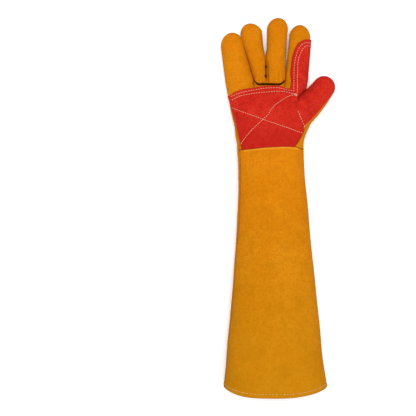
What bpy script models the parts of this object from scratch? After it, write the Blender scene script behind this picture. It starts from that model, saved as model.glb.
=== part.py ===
"""Welding gauntlet, right hand, lying on its back with the palm up.

Metres, +Z up, fingers toward +Y, thumb toward +X. The origin is on the flat underside
of the sleeve. Every panel is a wall of suede worked out from a surface that can be
taken at any depth below the outside of the glove.
"""

import bmesh
import bpy
import numpy as np

# Suede
LEATHER = 0.0015
PATCH_LEATHER = 0.0015
SEAM_GAP = 0.0004
PATCH_GAP = 0.0006
GUSSET_GAP = 0.0006
CROTCH_EDGE = 0.0008
HEM_FOLD = 0.0066
HEM_STEP = 0.0004
HEM_PLIES = 2.0

# Side edges of a section, where front and back meet: share of its depth, and raise above that
EDGE_SHARE = 0.46
EDGE_RAISE = 0.001

# Sleeve
ORIGIN_TO_WRIST = 0.096
SLEEVE_LENGTH = 0.374
HEM_CROWN = 0.0115
HEM_WIDTH = 0.1614
WRIST_DEPTH = 0.050
HEM_DEPTH = 0.078
FLOOR_PRESS = 0.002
SIDE_SEAM_RISE = 0.011
SIDE_SEAM_INSET = 0.0055
SIDE_ROLL = 0.60

# Hand
PALM_LENGTH = 0.1067
PALM_WIDTH = 0.1290
WRIST_WIDTH = PALM_WIDTH * 0.8062
WRIST_BLEND = 0.10
CROTCH_DEPTH = 0.025
GUSSET_DIP = 0.0085
GUSSET_STEP = 0.0016
GUSSET_CORNER = 0.35
FINGER_BLEND = 0.026
GUSSET_VALLEY = 0.30
HEEL_GAP = 0.0007
WRIST_DIP = 0.005
BACK_ARCH = 0.0125

# Digits: length from the crotch line, width near the tip, depth, length of the round cap
LITTLE_LENGTH = 0.0765
RING_LENGTH = 0.0900
MIDDLE_LENGTH = 0.0990
INDEX_LENGTH = 0.0880
THUMB_LENGTH = 0.0560
LITTLE_WIDTH = 0.0362
RING_WIDTH = 0.0342
MIDDLE_WIDTH = 0.0332
INDEX_WIDTH = 0.0336
THUMB_WIDTH = 0.0356
FINGER_DEPTH = 0.0200
THUMB_DEPTH = 0.0220
TIP_LIFT = 0.0020
THUMB_LIFT = 0.0060
CAP_SHARE = 0.60
THUMB_CAP_SHARE = 0.50

SUEDE_GOLD = (0.694, 0.238, 0.012, 1.0)
SUEDE_RED = (0.672, 0.022, 0.014, 1.0)

# Sleeve sections. along: share of SLEEVE_LENGTH from the wrist; flare: 0 at WRIST_WIDTH,
# 1 at HEM_WIDTH; lean: centre line as a share of WRIST_WIDTH; deep: 0 at WRIST_DEPTH, 1 at HEM_DEPTH
SLEEVE_SECTIONS = {
    "along": (0.00, 0.06, 0.14, 0.22, 0.31, 0.39, 0.48, 0.56, 0.64, 0.73, 0.81, 0.89, 0.96, 1.00),
    "flare": (0.022, 0.00, 0.026, 0.08, 0.152, 0.25, 0.344, 0.43, 0.53, 0.64, 0.745, 0.841, 0.94, 1.00),
    "lean": (-0.023, -0.011, -0.004, 0.01, 0.018, 0.021, 0.025, 0.029, 0.031, 0.031, 0.031, 0.033, 0.037, 0.04),
    "deep": (0.00, 0.03, 0.08, 0.15, 0.25, 0.34, 0.43, 0.52, 0.61, 0.70, 0.79, 0.88, 0.96, 1.00),
}

# Hand sections. along: share of PALM_LENGTH from the wrist; left, right: edges as shares of
# PALM_WIDTH; deep: 0 at CROTCH_DEPTH, 1 at WRIST_DEPTH
HAND_SECTIONS = {
    "along": (0.00, 0.10, 0.16, 0.27, 0.35, 0.46, 0.58, 0.70, 0.78, 0.87, 1.00),
    "left": (-0.427, -0.441, -0.448, -0.458, -0.465, -0.484, -0.508, -0.521, -0.533, -0.545, -0.566),
    "right": (0.390, 0.391, 0.397, 0.425, 0.466, 0.510, 0.523, 0.493, 0.455, 0.440, 0.436),
    "deep": (1.00, 0.90, 0.83, 0.72, 0.64, 0.54, 0.44, 0.34, 0.26, 0.16, 0.00),
}

# Seam between palm and thumb front, and between back and thumb back.
# along: share of PALM_LENGTH; across: share of PALM_WIDTH
THUMB_CROTCH = 0.870
THUMB_HEEL = 0.265
PALM_SEAM = {
    "along": (0.00, 0.13, 0.265, 0.40, 0.53, 0.65, 0.71, 0.77, 0.82, 0.87),
    "across": (0.264, 0.338, 0.388, 0.337, 0.299, 0.301, 0.318, 0.350, 0.388, 0.432),
}
BACK_SEAM = {
    "along": (0.00, 0.10, 0.30, 0.51, 0.70, 0.79, 0.87),
    "across": (0.354, 0.360, 0.377, 0.389, 0.402, 0.412, 0.432),
}

# Borders between the fingers at the crotch line, across as shares of PALM_WIDTH,
# up as shares of PALM_LENGTH above the crotch line
CROTCHES = {
    "across": (-0.566, -0.214, -0.060, 0.171, 0.436),
    "up": (-0.020, 0.000, 0.012, 0.000, -0.008),
}

# Digits from the little finger on. centre: middle of the cap's base as a share of PALM_WIDTH;
# reach: its distance above the crotch line as a share of the digit's length;
# lean: sideways run of the tip as a share of the cap's length
DIGITS = (
    {"length": LITTLE_LENGTH, "width": LITTLE_WIDTH, "centre": -0.486, "reach": 0.715, "lean": 0.05},
    {"length": RING_LENGTH, "width": RING_WIDTH, "centre": -0.234, "reach": 0.775, "lean": -0.16},
    {"length": MIDDLE_LENGTH, "width": MIDDLE_WIDTH, "centre": 0.068, "reach": 0.790, "lean": 0.14},
    {"length": INDEX_LENGTH, "width": INDEX_WIDTH, "centre": 0.353, "reach": 0.770, "lean": 0.02},
)
INDEX = 3

# Thumb: base of its cap from the thumb crotch, as shares of THUMB_LENGTH, and its lean
THUMB_OUT = 0.470
THUMB_UP = 0.043
THUMB_SLOPE = 51.0
THUMB_SWELL = 0.002
THUMB_PUSH = 0.004
FAN_SHARE = 0.75
FAN_TURN = 0.45
HEEL_WRAP = 25.0

# Head of the patch. across: 0 at the side seam, 1 at the thumb seam; head: share of the way
# from the wrist to the crotch line
PATCH_EDGE = {
    "across": (0.00, 0.12, 0.30, 0.50, 0.66, 0.75, 0.8125, 1.00),
    "head": (0.775, 0.835, 0.880, 0.905, 0.905, 0.875, 0.870, 0.870),
}
PATCH_FOOT = 0.012
PATCH_EVEN = 0.74
PATCH_MARGIN = 0.04

# Left edge of the strip. along: share of the index finger up to its cap; left: share of the
# half turn round the finger
STRIP_EDGE = {
    "along": (0.15, 0.32, 0.50, 0.66, 0.78, 0.86, 0.92, 0.94),
    "left": (0.280, 0.285, 0.300, 0.345, 0.400, 0.480, 0.600, 0.700),
}

# Rounding of a section: 2 is an ellipse, more is boxier
ROUND_FRONT = 2.3
ROUND_BACK = 2.6

# Faces
DIGIT_COLUMNS = 8
THUMB_COLUMNS = 10
THUMB_ROWS = 4
TAIL_ROWS = 2
FAN_END_ROWS = 2
CROTCH_ROWS = 3
GUSSET_ROWS = 3
DIGIT_ROWS = 3
CAP_ROWS = 4
PATCH_HEAD_ROWS = 3
STRIP_COLUMNS = 6
SLEEVE_COLUMNS = 18
SLEEVE_ROWS = 11
HALF_TURN = np.pi


def smooth(at, stations, values):
    """Cubic curve through the stations whose slopes are the mean of the chords beside them."""
    stations = np.asarray(stations, float)
    values = np.asarray(values, float)
    chords = np.diff(values) / np.diff(stations)
    slopes = np.concatenate([chords[:1], (chords[1:] + chords[:-1]) / 2, chords[-1:]])
    at = np.clip(at, stations[0], stations[-1])
    place = np.clip(np.searchsorted(stations, at) - 1, 0, len(stations) - 2)
    span = stations[place + 1] - stations[place]
    t = (at - stations[place]) / span
    start = (1 + 2 * t) * (1 - t) ** 2 * values[place] + t * (1 - t) ** 2 * span * slopes[place]
    end = t ** 2 * (3 - 2 * t) * values[place + 1] + t ** 2 * (t - 1) * span * slopes[place + 1]
    return start + end


def ease(at, start, end):
    """0 before start, 1 after end, and a smooth step between them."""
    t = np.clip((at - start) / (end - start), 0.0, 1.0)
    return t * t * (3 - 2 * t)


def edge_height(depth):
    """Height of the side edges of a section of that depth."""
    return EDGE_SHARE * depth + EDGE_RAISE


def section(y):
    """Left edge, right edge, height and height of the side edges of the glove at y."""
    down = (ORIGIN_TO_WRIST - y) / SLEEVE_LENGTH
    up = (y - ORIGIN_TO_WRIST) / PALM_LENGTH
    along = SLEEVE_SECTIONS["along"]
    width = WRIST_WIDTH + (HEM_WIDTH - WRIST_WIDTH) * smooth(down, along, SLEEVE_SECTIONS["flare"])
    centre = WRIST_WIDTH * smooth(down, along, SLEEVE_SECTIONS["lean"])
    depth = WRIST_DEPTH + (HEM_DEPTH - WRIST_DEPTH) * smooth(down, along, SLEEVE_SECTIONS["deep"])
    along = HAND_SECTIONS["along"]
    wrist_left = centre - width / 2
    wrist_right = centre + width / 2
    hand_left = PALM_WIDTH * smooth(up, along, HAND_SECTIONS["left"])
    hand_right = PALM_WIDTH * smooth(up, along, HAND_SECTIONS["right"])
    hand_depth = CROTCH_DEPTH + (WRIST_DEPTH - CROTCH_DEPTH) * smooth(up, along, HAND_SECTIONS["deep"])
    join = ease(up, 0.0, WRIST_BLEND)
    left = wrist_left + (hand_left - wrist_left) * join
    right = wrist_right + (hand_right - wrist_right) * join
    depth = np.where(up > 0, hand_depth, depth)
    return left, right, depth, edge_height(depth)


def loop(y, angle, inset):
    """Point of the cross-section at y, inset below the outside.

    The angle runs from the left edge (0) over the palm side (a quarter turn) to the right
    edge (half a turn) and back along the underside, which the floor presses flat.
    """
    left, right, depth, side = section(y)
    half = (right - left) / 2 - inset
    centre = (right + left) / 2
    cosine = np.cos(angle)
    sine = np.sin(angle)
    power = np.where(sine > 0, 2 / ROUND_FRONT, 2 / ROUND_BACK)
    x = centre - half * np.sign(cosine) * np.abs(cosine) ** power
    above = side + (depth - inset - side) * np.abs(sine) ** (2 / ROUND_FRONT)
    below = side - (side + FLOOR_PRESS - inset) * np.abs(sine) ** (2 / ROUND_BACK)
    z = np.where(sine > 0, above, np.maximum(below, inset))
    return np.stack([x, y + 0 * x, z], axis=-1)


def angle_at(y, x, inset, front):
    """Angle of the loop at which it passes x, on the palm side or on the underside."""
    left, right, _, _ = section(y)
    half = (right - left) / 2 - inset
    share = np.clip((x - (right + left) / 2) / half, -1.0, 1.0)
    rounding = ROUND_FRONT if front else ROUND_BACK
    angle = np.arccos(-np.sign(share) * np.abs(share) ** (rounding / 2))
    return angle if front else 2 * HALF_TURN - angle


def rise_angle(y, rise, inset):
    """Small angle at which the loop stands the rise above its left side edge."""
    _, _, depth, side = section(y)
    above = np.abs(rise) / (depth - inset - side)
    below = np.abs(rise) / (side + FLOOR_PRESS - inset)
    up = np.arcsin(np.clip(above, 0, 1) ** (ROUND_FRONT / 2))
    down = np.arcsin(np.clip(below, 0, 1) ** (ROUND_BACK / 2))
    return np.where(rise > 0, up, -down)


def side_rise(y):
    """Height of the little finger side seam above the edge: it rolls onto the palm side."""
    up = (y - ORIGIN_TO_WRIST) / PALM_LENGTH
    return SIDE_SEAM_RISE * (1 - ease(up, 0.0, SIDE_ROLL))


def wrist_line(angle):
    """Where the hand is sewn to the sleeve: a shallow arch on the palm, a deep one on the back."""
    arch = np.where(np.sin(angle) > 0, WRIST_DIP, BACK_ARCH)
    return ORIGIN_TO_WRIST - WRIST_DIP + arch * np.sin(angle) ** 2


def crotch_line(u, front):
    """Across and up of the line where the fingers begin, u counting the fingers from the side."""
    across = PALM_WIDTH * np.interp(u, range(5), CROTCHES["across"])
    y = ORIGIN_TO_WRIST + PALM_LENGTH * (1 + np.interp(u, range(5), CROTCHES["up"]))
    if front:
        dip = ease(u, 1.0, 1.0 + GUSSET_CORNER) * (1 - ease(u, 3.0 - GUSSET_CORNER, 3.0))
        y = y - GUSSET_DIP * dip
    return across, y


class Panel:
    """A wall of suede: outer points, the inner points under them, and the faces over them."""

    def __init__(self):
        self.outer = []
        self.inner = []
        self.quads = []

    def add(self, outer, inner):
        """Add a grid of points and give the grid of their numbers."""
        first = len(self.outer)
        self.outer.extend(outer.reshape(-1, 3))
        self.inner.extend(inner.reshape(-1, 3))
        return first + np.arange(outer[..., 0].size).reshape(outer.shape[:-1])

    def face(self, grid):
        """Cover every cell of a grid of point numbers with a face."""
        corners = (grid[:-1, :-1], grid[:-1, 1:], grid[1:, 1:], grid[1:, :-1])
        self.quads.extend(np.stack(corners, axis=-1).reshape(-1, 4).tolist())

    def build(self, name, colour):
        """Close the wall with rims along its free edges and make it an object."""
        mesh = bpy.data.meshes.new(name)
        count = len(self.outer)
        faces = [list(dict.fromkeys(quad)) for quad in self.quads]
        edges = {}
        for face in faces:
            for start, end in zip(face, face[1:] + face[:1]):
                edges[(start, end)] = True
        rims = [(end, start, start + count, end + count) for start, end in edges if (end, start) not in edges]
        inside = [[corner + count for corner in reversed(face)] for face in faces]
        mesh.from_pydata([tuple(point) for point in self.outer + self.inner], [], faces + inside + rims)
        shape = bmesh.new()
        shape.from_mesh(mesh)
        loose = [vert for vert in shape.verts if not vert.link_faces]
        bmesh.ops.delete(shape, geom=loose, context="VERTS")
        bmesh.ops.recalc_face_normals(shape, faces=shape.faces)
        bmesh.ops.triangulate(shape, faces=shape.faces)
        shape.to_mesh(mesh)
        shape.free()
        mesh.shade_smooth()
        mesh.set_sharp_from_angle(angle=np.radians(50.0))
        item = bpy.data.objects.new(name, mesh)
        bpy.context.collection.objects.link(item)
        mesh.materials.append(suede(colour))
        return item


def suede(colour):
    """Rough split hide in one colour, shared by the panels of that colour."""
    name = "suede_red" if colour == SUEDE_RED else "suede_gold"
    if name in bpy.data.materials:
        return bpy.data.materials[name]
    material = bpy.data.materials.new(name)
    material.use_nodes = True
    shader = material.node_tree.nodes["Principled BSDF"]
    shader.inputs["Base Color"].default_value = colour
    shader.inputs["Roughness"].default_value = 0.92
    shader.inputs["Metallic"].default_value = 0.0
    return material


def border(k, v, front):
    """Place across of the line between two fingers, or of the thumb seam, at a share v of the palm."""
    left, right, _, _ = section(np.array(ORIGIN_TO_WRIST))
    seam = PALM_SEAM if front else BACK_SEAM
    foot_right = PALM_WIDTH * seam["across"][0]
    foot = left + (foot_right - left) * k / 4
    head = PALM_WIDTH * CROTCHES["across"][k]
    if k < 4:
        return foot + (head - foot) * v
    below = PALM_WIDTH * smooth(v, seam["along"], seam["across"])
    above = PALM_WIDTH * seam["across"][-1]
    past = np.clip((v - THUMB_CROTCH) / (1 - THUMB_CROTCH), 0.0, 1.0)
    return np.where(v < THUMB_CROTCH, below, above + (head - above) * past)


def foot_angle(u, front):
    """Angle round the wrist at which the hand's column u starts."""
    y = np.array(ORIGIN_TO_WRIST)
    seam = side_rise(y) + (SEAM_GAP / 2 if front else -SEAM_GAP / 2)
    angles = [rise_angle(y, seam, 0.0) + (0 if front else 2 * HALF_TURN)]
    angles += [angle_at(y, border(k, 0.0, front), 0.0, front) for k in range(1, 5)]
    return np.interp(u, range(5), angles)


def row_height(u, v, front, dip=True):
    """Place along the glove of the hand surface at u fingers across and the share v up the palm."""
    foot = wrist_line(foot_angle(u, front))
    _, head = crotch_line(u, front and dip)
    return foot + (head - foot) * v


def finger_share(k, v, front):
    """How far the hand has turned into fingers at a border: 0 is the palm, 1 the finger itself."""
    if k == 4:
        return ease(v, THUMB_CROTCH - FINGER_BLEND / PALM_LENGTH, THUMB_CROTCH)
    full = ease(v, 1 - FINGER_BLEND / PALM_LENGTH, 1.0)
    return GUSSET_VALLEY * full if k == 2 and front else full


def finger_form(u, v, inset, front, dip=True):
    """Half round of a finger at a row of the hand, between its two borders."""
    place = np.clip(np.floor(u), 0, 3).astype(int)
    q = u - place
    y = row_height(u, v, front, dip)
    _, _, depth, side = section(y)
    past = np.clip((v - THUMB_CROTCH) / (1 - THUMB_CROTCH), 0.0, 1.0)
    sides = []
    lifts = []
    for step in (0, 1):
        across = np.zeros_like(y)
        lift = np.zeros_like(y)
        for k in range(5):
            here = place + step == k
            tuck = inset * (1 if k == 0 else past if k == 4 else 0)
            edge = CROTCH_EDGE * (1 - inset / LEATHER) * (0 if k == 0 else 1 - past if k == 4 else 1)
            across = np.where(here, border(k, v, front) + (tuck if step == 0 else -tuck), across)
            lift = np.where(here, edge, lift)
        sides.append(across)
        lifts.append(lift)
    turn = q * HALF_TURN
    x = (sides[0] + sides[1]) / 2 - (sides[1] - sides[0]) / 2 * np.cos(turn)
    lift = SEAM_GAP / 2 + lifts[0] + (lifts[1] - lifts[0]) * q
    if front:
        z = side + lift + (depth - side - inset - SEAM_GAP) * np.sin(turn)
    else:
        z = side - lift - (side - lift - inset) * np.sin(turn)
    return np.stack([x, y, z], axis=-1)


def hand_point(u, v, inset, front):
    """Point of the hand: u fingers across from the side seam, the share v up the palm."""
    u, v = np.broadcast_arrays(np.asarray(u, float), np.asarray(v, float))
    place = np.clip(np.floor(u), 0, 3).astype(int)
    q = u - place
    y = row_height(u, v, front)
    seam = side_rise(y) + (SEAM_GAP / 2 if front else -SEAM_GAP / 2)
    start = rise_angle(y, seam, inset) + (0 if front else 2 * HALF_TURN)
    angles = [start] + [angle_at(y, border(k, v, front), inset, front) for k in range(1, 5)]
    shares = [finger_share(k, v, front) for k in range(5)]
    near = np.choose(place, angles[:4])
    far = np.choose(place, angles[1:])
    palm = loop(y, near + (far - near) * q, inset)
    share = np.choose(place, shares[:4]) * (1 - q) + np.choose(place, shares[1:]) * q
    return palm + (finger_form(u, v, inset, front) - palm) * share[..., None]


def digit_place(spec, base_left, base_right):
    """Middle of the base of a finger's cap, the way the finger points, and the sideways unit."""
    y = ORIGIN_TO_WRIST + PALM_LENGTH + spec["length"] * spec["reach"]
    centre = np.array([PALM_WIDTH * spec["centre"], y])
    root = (base_left + base_right) / 2
    way = centre - root
    way = way / np.linalg.norm(way) + np.array([spec["lean"], 0.0])
    way = way / np.linalg.norm(way)
    return centre, way, np.array([way[1], -way[0]])


def cap_ring(centre, side_way, half, rise, edge_z, inset, front, columns):
    """Half ring of a finger or thumb: half its width across, its rise or fall about the edge."""
    turn = columns * HALF_TURN
    across = (half - inset) * -np.cos(turn)
    x = centre[0] + side_way[0] * across
    y = centre[1] + side_way[1] * across
    sign = 1.0 if front else -1.0
    z = edge_z + sign * (SEAM_GAP / 2 + (rise - inset - SEAM_GAP / 2) * np.sin(turn))
    return np.stack([x, y, z], axis=-1)


def cap_rows(centre, way, side_way, half, length, rise, edge_z, inset, front, columns):
    """Rings of the round tip, narrowing as a quarter of an ellipse down to its end point."""
    rows = []
    for step in range(1, CAP_ROWS + 1):
        turn = HALF_TURN / 2 * step / CAP_ROWS
        middle = centre + way * (length - inset) * np.sin(turn)
        ring = cap_ring(np.zeros(2), side_way, half, rise, 0.0, inset, front, columns)
        shrink = np.cos(turn)
        sign = 1.0 if front else -1.0
        x = middle[0] + ring[:, 0] * shrink
        y = middle[1] + ring[:, 1] * shrink
        z = edge_z + sign * SEAM_GAP / 2 + (ring[:, 2] - sign * SEAM_GAP / 2) * shrink
        rows.append(np.stack([x, y, z], axis=-1))
    return rows


def finger_rows(index, base, inset, front, columns, ends):
    """Rings of one finger from just above its base row to its tip."""
    spec = DIGITS[index]
    centre, way, side_way = digit_place(spec, ends[0], ends[1])
    half = spec["width"] / 2
    edge_z = edge_height(CROTCH_DEPTH) + TIP_LIFT
    top = cap_ring(centre, side_way, half, FINGER_DEPTH / 2, edge_z, inset, front, columns)
    rows = []
    for step in range(1, DIGIT_ROWS + 1):
        rows.append(base + (top - base) * step / DIGIT_ROWS)
    length = spec["width"] * CAP_SHARE
    rise = FINGER_DEPTH / 2
    return rows + cap_rows(centre, way, side_way, half, length, rise, edge_z, inset, front, columns)


def finger_ends(index):
    """Left and right end of a finger's base in plan."""
    x, y = crotch_line(np.array([index, index + 1.0]), False)
    return np.array([x[0], y[0]]), np.array([x[1], y[1]])


def add_finger(panel, index, base_numbers, bases, front, columns):
    """Grow one finger on a row of points that the panel already has."""
    grids = []
    ends = finger_ends(index)
    for inset, base in zip((0.0, LEATHER), bases):
        grids.append(np.array(finger_rows(index, base, inset, front, columns, ends)))
    numbers = panel.add(grids[0], grids[1])
    numbers[-1] = numbers[-1, 0]
    panel.face(np.vstack([base_numbers[None, :], numbers]))


def hand_grid(panel, front):
    """The hand from wrist to crotch line, as rows of points four fingers wide."""
    u = np.linspace(0, 4, 4 * DIGIT_COLUMNS + 1)[None, :]
    v = hand_rows()[:, None]
    grids = [hand_point(u, v, inset, front) for inset in (0.0, LEATHER)]
    numbers = panel.add(*grids)
    panel.face(numbers)
    return numbers, grids


def hand_rows():
    """Shares up the palm at which the hand has rows, with rows at the heel and crotch of the thumb."""
    low = np.linspace(0.0, THUMB_HEEL, TAIL_ROWS + 1)
    high = np.linspace(THUMB_CROTCH, 1.0, CROTCH_ROWS + 1)
    return np.concatenate([low, seam_rows()[1:], high[1:]])


def seam_rows():
    """Shares up the palm of the rows that end at the thumb's seam."""
    return np.linspace(THUMB_HEEL, THUMB_CROTCH, THUMB_COLUMNS + 1)


def make_back_panel():
    panel = Panel()
    numbers, grids = hand_grid(panel, False)
    columns = np.linspace(0, 1, DIGIT_COLUMNS + 1)
    for index in range(4):
        part = slice(index * DIGIT_COLUMNS, (index + 1) * DIGIT_COLUMNS + 1)
        bases = [grid[-1, part] for grid in grids]
        add_finger(panel, index, numbers[-1, part], bases, False, columns)
    return panel.build("back_panel", SUEDE_GOLD)


def make_palm_panel():
    panel = Panel()
    numbers, grids = hand_grid(panel, True)
    columns = np.linspace(0, 1, DIGIT_COLUMNS + 1)
    for index in (0, INDEX):
        part = slice(index * DIGIT_COLUMNS, (index + 1) * DIGIT_COLUMNS + 1)
        bases = [grid[-1, part] for grid in grids]
        add_finger(panel, index, numbers[-1, part], bases, True, columns)
    return panel.build("palm_panel", SUEDE_GOLD)


def make_middle_ring_front():
    """Fronts of ring and middle finger, set in below the edge of the palm and butted to it."""
    panel = Panel()
    u = np.linspace(1, 3, 2 * DIGIT_COLUMNS + 1)
    inward = np.sin(np.pi * (u - 1) / 2)
    stacks = []
    for inset in (0.0, LEATHER):
        foot = hand_point(u, 1.0, inset, True)
        foot[:, 1] += GUSSET_GAP
        foot[:, 2] -= GUSSET_STEP * inward
        head = finger_form(u, np.ones_like(u), inset, True, dip=False)
        for row in (foot, head):
            row[0, 0] += SEAM_GAP
            row[-1, 0] -= SEAM_GAP
        head[:, 1] += GUSSET_GAP * 2
        shares = np.linspace(0, 1, GUSSET_ROWS + 1)[:, None, None]
        stacks.append(foot + (head - foot) * shares)
    numbers = panel.add(*stacks)
    panel.face(numbers)
    columns = np.linspace(0, 1, DIGIT_COLUMNS + 1)
    for index in (1, 2):
        part = slice((index - 1) * DIGIT_COLUMNS, index * DIGIT_COLUMNS + 1)
        bases = [stack[-1, part] for stack in stacks]
        add_finger(panel, index, numbers[-1, part], bases, True, columns)
    return panel.build("middle_ring_front", SUEDE_GOLD)


def thumb_frame():
    """Base of the thumb's cap, the way the thumb points and the sideways unit, crotch side first."""
    crotch = hand_point(4.0, THUMB_CROTCH, 0.0, True)
    slope = np.radians(THUMB_SLOPE)
    way = np.array([np.cos(slope), np.sin(slope)])
    side_way = np.array([way[1], -way[0]])
    centre = crotch[:2] + THUMB_LENGTH * np.array([THUMB_OUT, THUMB_UP])
    return centre, way, side_way


def thumb_cap(inset, front, columns):
    """First ring of the thumb's round end, and the rings beyond it."""
    centre, way, side_way = thumb_frame()
    edge_z = edge_height(CROTCH_DEPTH) + THUMB_LIFT
    half = THUMB_WIDTH / 2
    length = THUMB_WIDTH * THUMB_CAP_SHARE
    ring = cap_ring(centre, side_way, half, THUMB_DEPTH / 2, edge_z, inset, front, columns)
    rows = cap_rows(centre, way, side_way, half, length, THUMB_DEPTH / 2, edge_z, inset, front, columns)
    return ring, rows


def make_thumb_front():
    """Red front of the thumb, from the seam on the palm to the tip."""
    panel = Panel()
    columns = np.linspace(0, 1, THUMB_COLUMNS + 1)
    v = seam_rows()[::-1].copy()
    v[-1] += HEEL_GAP / PALM_LENGTH
    stacks = []
    for inset in (0.0, LEATHER):
        seam = hand_point(4.0, v, inset, True)
        seam[:, 0] += SEAM_GAP
        ring, rows = thumb_cap(inset, True, columns)
        side_way = thumb_frame()[2]
        shares = np.linspace(0, 1, THUMB_ROWS + 1)[:, None, None]
        body = seam + (ring - seam) * shares
        swell = np.sin(np.pi * shares[..., 0]) * np.sin(np.pi * columns)
        body[..., 2] += THUMB_SWELL * swell
        aside = THUMB_PUSH * 4 * (shares * (1 - shares))[..., 0] * np.sin(np.pi * columns) * (1 - columns)
        body[..., :2] += aside[..., None] * side_way
        stacks.append(np.concatenate([body, np.array(rows)]))
    numbers = panel.add(*stacks)
    numbers[-1] = numbers[-1, 0]
    panel.face(numbers)
    return panel.build("thumb_front", SUEDE_RED)


def make_thumb_back():
    """Golden back of the thumb with its tail along the side of the hand to the wrist."""
    panel = Panel()
    columns = np.linspace(0, 1, THUMB_COLUMNS + 1)
    stacks = []
    for inset in (0.0, LEATHER):
        tail = []
        heel_back = row_height(4.0, THUMB_HEEL, False)
        heel_front = row_height(4.0, THUMB_HEEL, True)
        for share in np.linspace(0, 1, TAIL_ROWS + 1):
            v = THUMB_HEEL * share
            y_back = row_height(4.0, v, False)
            y_front = row_height(4.0, v, True)
            near = angle_at(y_back, border(4, v, False) + SEAM_GAP, inset, False)
            far = angle_at(y_front, border(4, v, True) + SEAM_GAP, inset, True)
            angle = near + (far - near) * columns
            heel = heel_back + (heel_front - heel_back) * columns
            wrist = wrist_line(angle)
            tail.append(loop(wrist + (heel - wrist) * share, angle, inset))
        last = tail[-1]
        ring, rows = thumb_cap(inset, False, columns)
        fan = []
        climb = np.linspace(0, FAN_SHARE, THUMB_COLUMNS + 1)[1:]
        beyond = np.linspace(FAN_SHARE, 1.0, FAN_END_ROWS + 1)[1:]
        for share in np.concatenate([climb, beyond]):
            up = np.clip(share / FAN_SHARE, 0.0, 1.0)
            v = THUMB_HEEL + (THUMB_CROTCH - THUMB_HEEL) * up
            near = hand_point(4.0, v, inset, False) + np.array([SEAM_GAP, 0.0, 0.0])
            past = np.clip((share - FAN_SHARE) / (1 - FAN_SHARE), 0.0, 1.0)
            near = near + (ring[0] - near) * past
            far = last[-1] + (ring[-1] - last[-1]) * share
            start = HALF_TURN / 2 * (1 - up)
            end = HALF_TURN + np.radians(HEEL_WRAP) * (1 - share)
            turn = start + (end - start) * columns
            reach = (far - near) / (np.cos(start) - np.cos(end))
            middle = near + reach * np.cos(start)
            round_row = middle - reach * np.cos(turn)[:, None]
            fall = side_fall(share, inset)
            round_row[:, 2] = -fall * np.sin(turn)
            miss_near = near[2] - round_row[0, 2]
            miss_far = far[2] - round_row[-1, 2]
            round_row[:, 2] += miss_near + (miss_far - miss_near) * columns
            carried = last + (near - last[0]) + ((far - last[-1]) - (near - last[0])) * columns[:, None]
            fan.append(carried + (round_row - carried) * ease(share, 0.0, FAN_TURN))
        stacks.append(np.concatenate([np.array(tail), np.array(fan), np.array(rows)]))
    numbers = panel.add(*stacks)
    numbers[-1] = numbers[-1, 0]
    panel.face(numbers)
    return panel.build("thumb_back", SUEDE_GOLD)


def side_fall(share, inset):
    """Depth of the thumb's underside below its edges, from the hand to the thumb's cap."""
    start = edge_height(CROTCH_DEPTH)
    return start + (THUMB_DEPTH / 2 - SEAM_GAP / 2 - start) * share - inset


def hem_line(angle):
    """The cut edge of the sleeve bows out in the middle of either side."""
    return ORIGIN_TO_WRIST - SLEEVE_LENGTH - HEM_CROWN * np.sin(angle) ** 2


def sleeve_grid(panel, front):
    """Half the sleeve, from seam to seam, with its hem folded in."""
    fold = 1 - HEM_FOLD / SLEEVE_LENGTH
    rows = np.concatenate([np.linspace(0, fold, SLEEVE_ROWS), [fold + HEM_STEP / SLEEVE_LENGTH, 1.0]])
    depths = np.where(rows > fold, HEM_PLIES, 1.0)
    columns = np.linspace(0, 1, SLEEVE_COLUMNS + 1)
    stacks = []
    for layer in (0.0, LEATHER):
        grid = []
        for share, times in zip(rows, depths):
            inset = layer * times
            level = ORIGIN_TO_WRIST - WRIST_DIP - SEAM_GAP - (SLEEVE_LENGTH - WRIST_DIP) * share
            _, right, _, _ = section(np.array(level))
            seam_x = right - SIDE_SEAM_INSET
            if front:
                start = rise_angle(level, SIDE_SEAM_RISE + SEAM_GAP / 2, inset)
                end = angle_at(level, seam_x + SEAM_GAP / 2, inset, False)
            else:
                start = angle_at(level, seam_x - SEAM_GAP / 2, inset, False)
                end = 2 * HALF_TURN + rise_angle(level, SIDE_SEAM_RISE - SEAM_GAP / 2, inset)
            angle = start + (end - start) * columns
            top = wrist_line(angle) - SEAM_GAP
            y = top + (hem_line(angle) - top) * share
            grid.append(loop(y, angle, inset))
        stacks.append(np.array(grid))
    panel.face(panel.add(*stacks))


def make_sleeve_front():
    panel = Panel()
    sleeve_grid(panel, True)
    return panel.build("sleeve_front", SUEDE_GOLD)


def make_sleeve_back():
    panel = Panel()
    sleeve_grid(panel, False)
    return panel.build("sleeve_back", SUEDE_GOLD)


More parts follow.
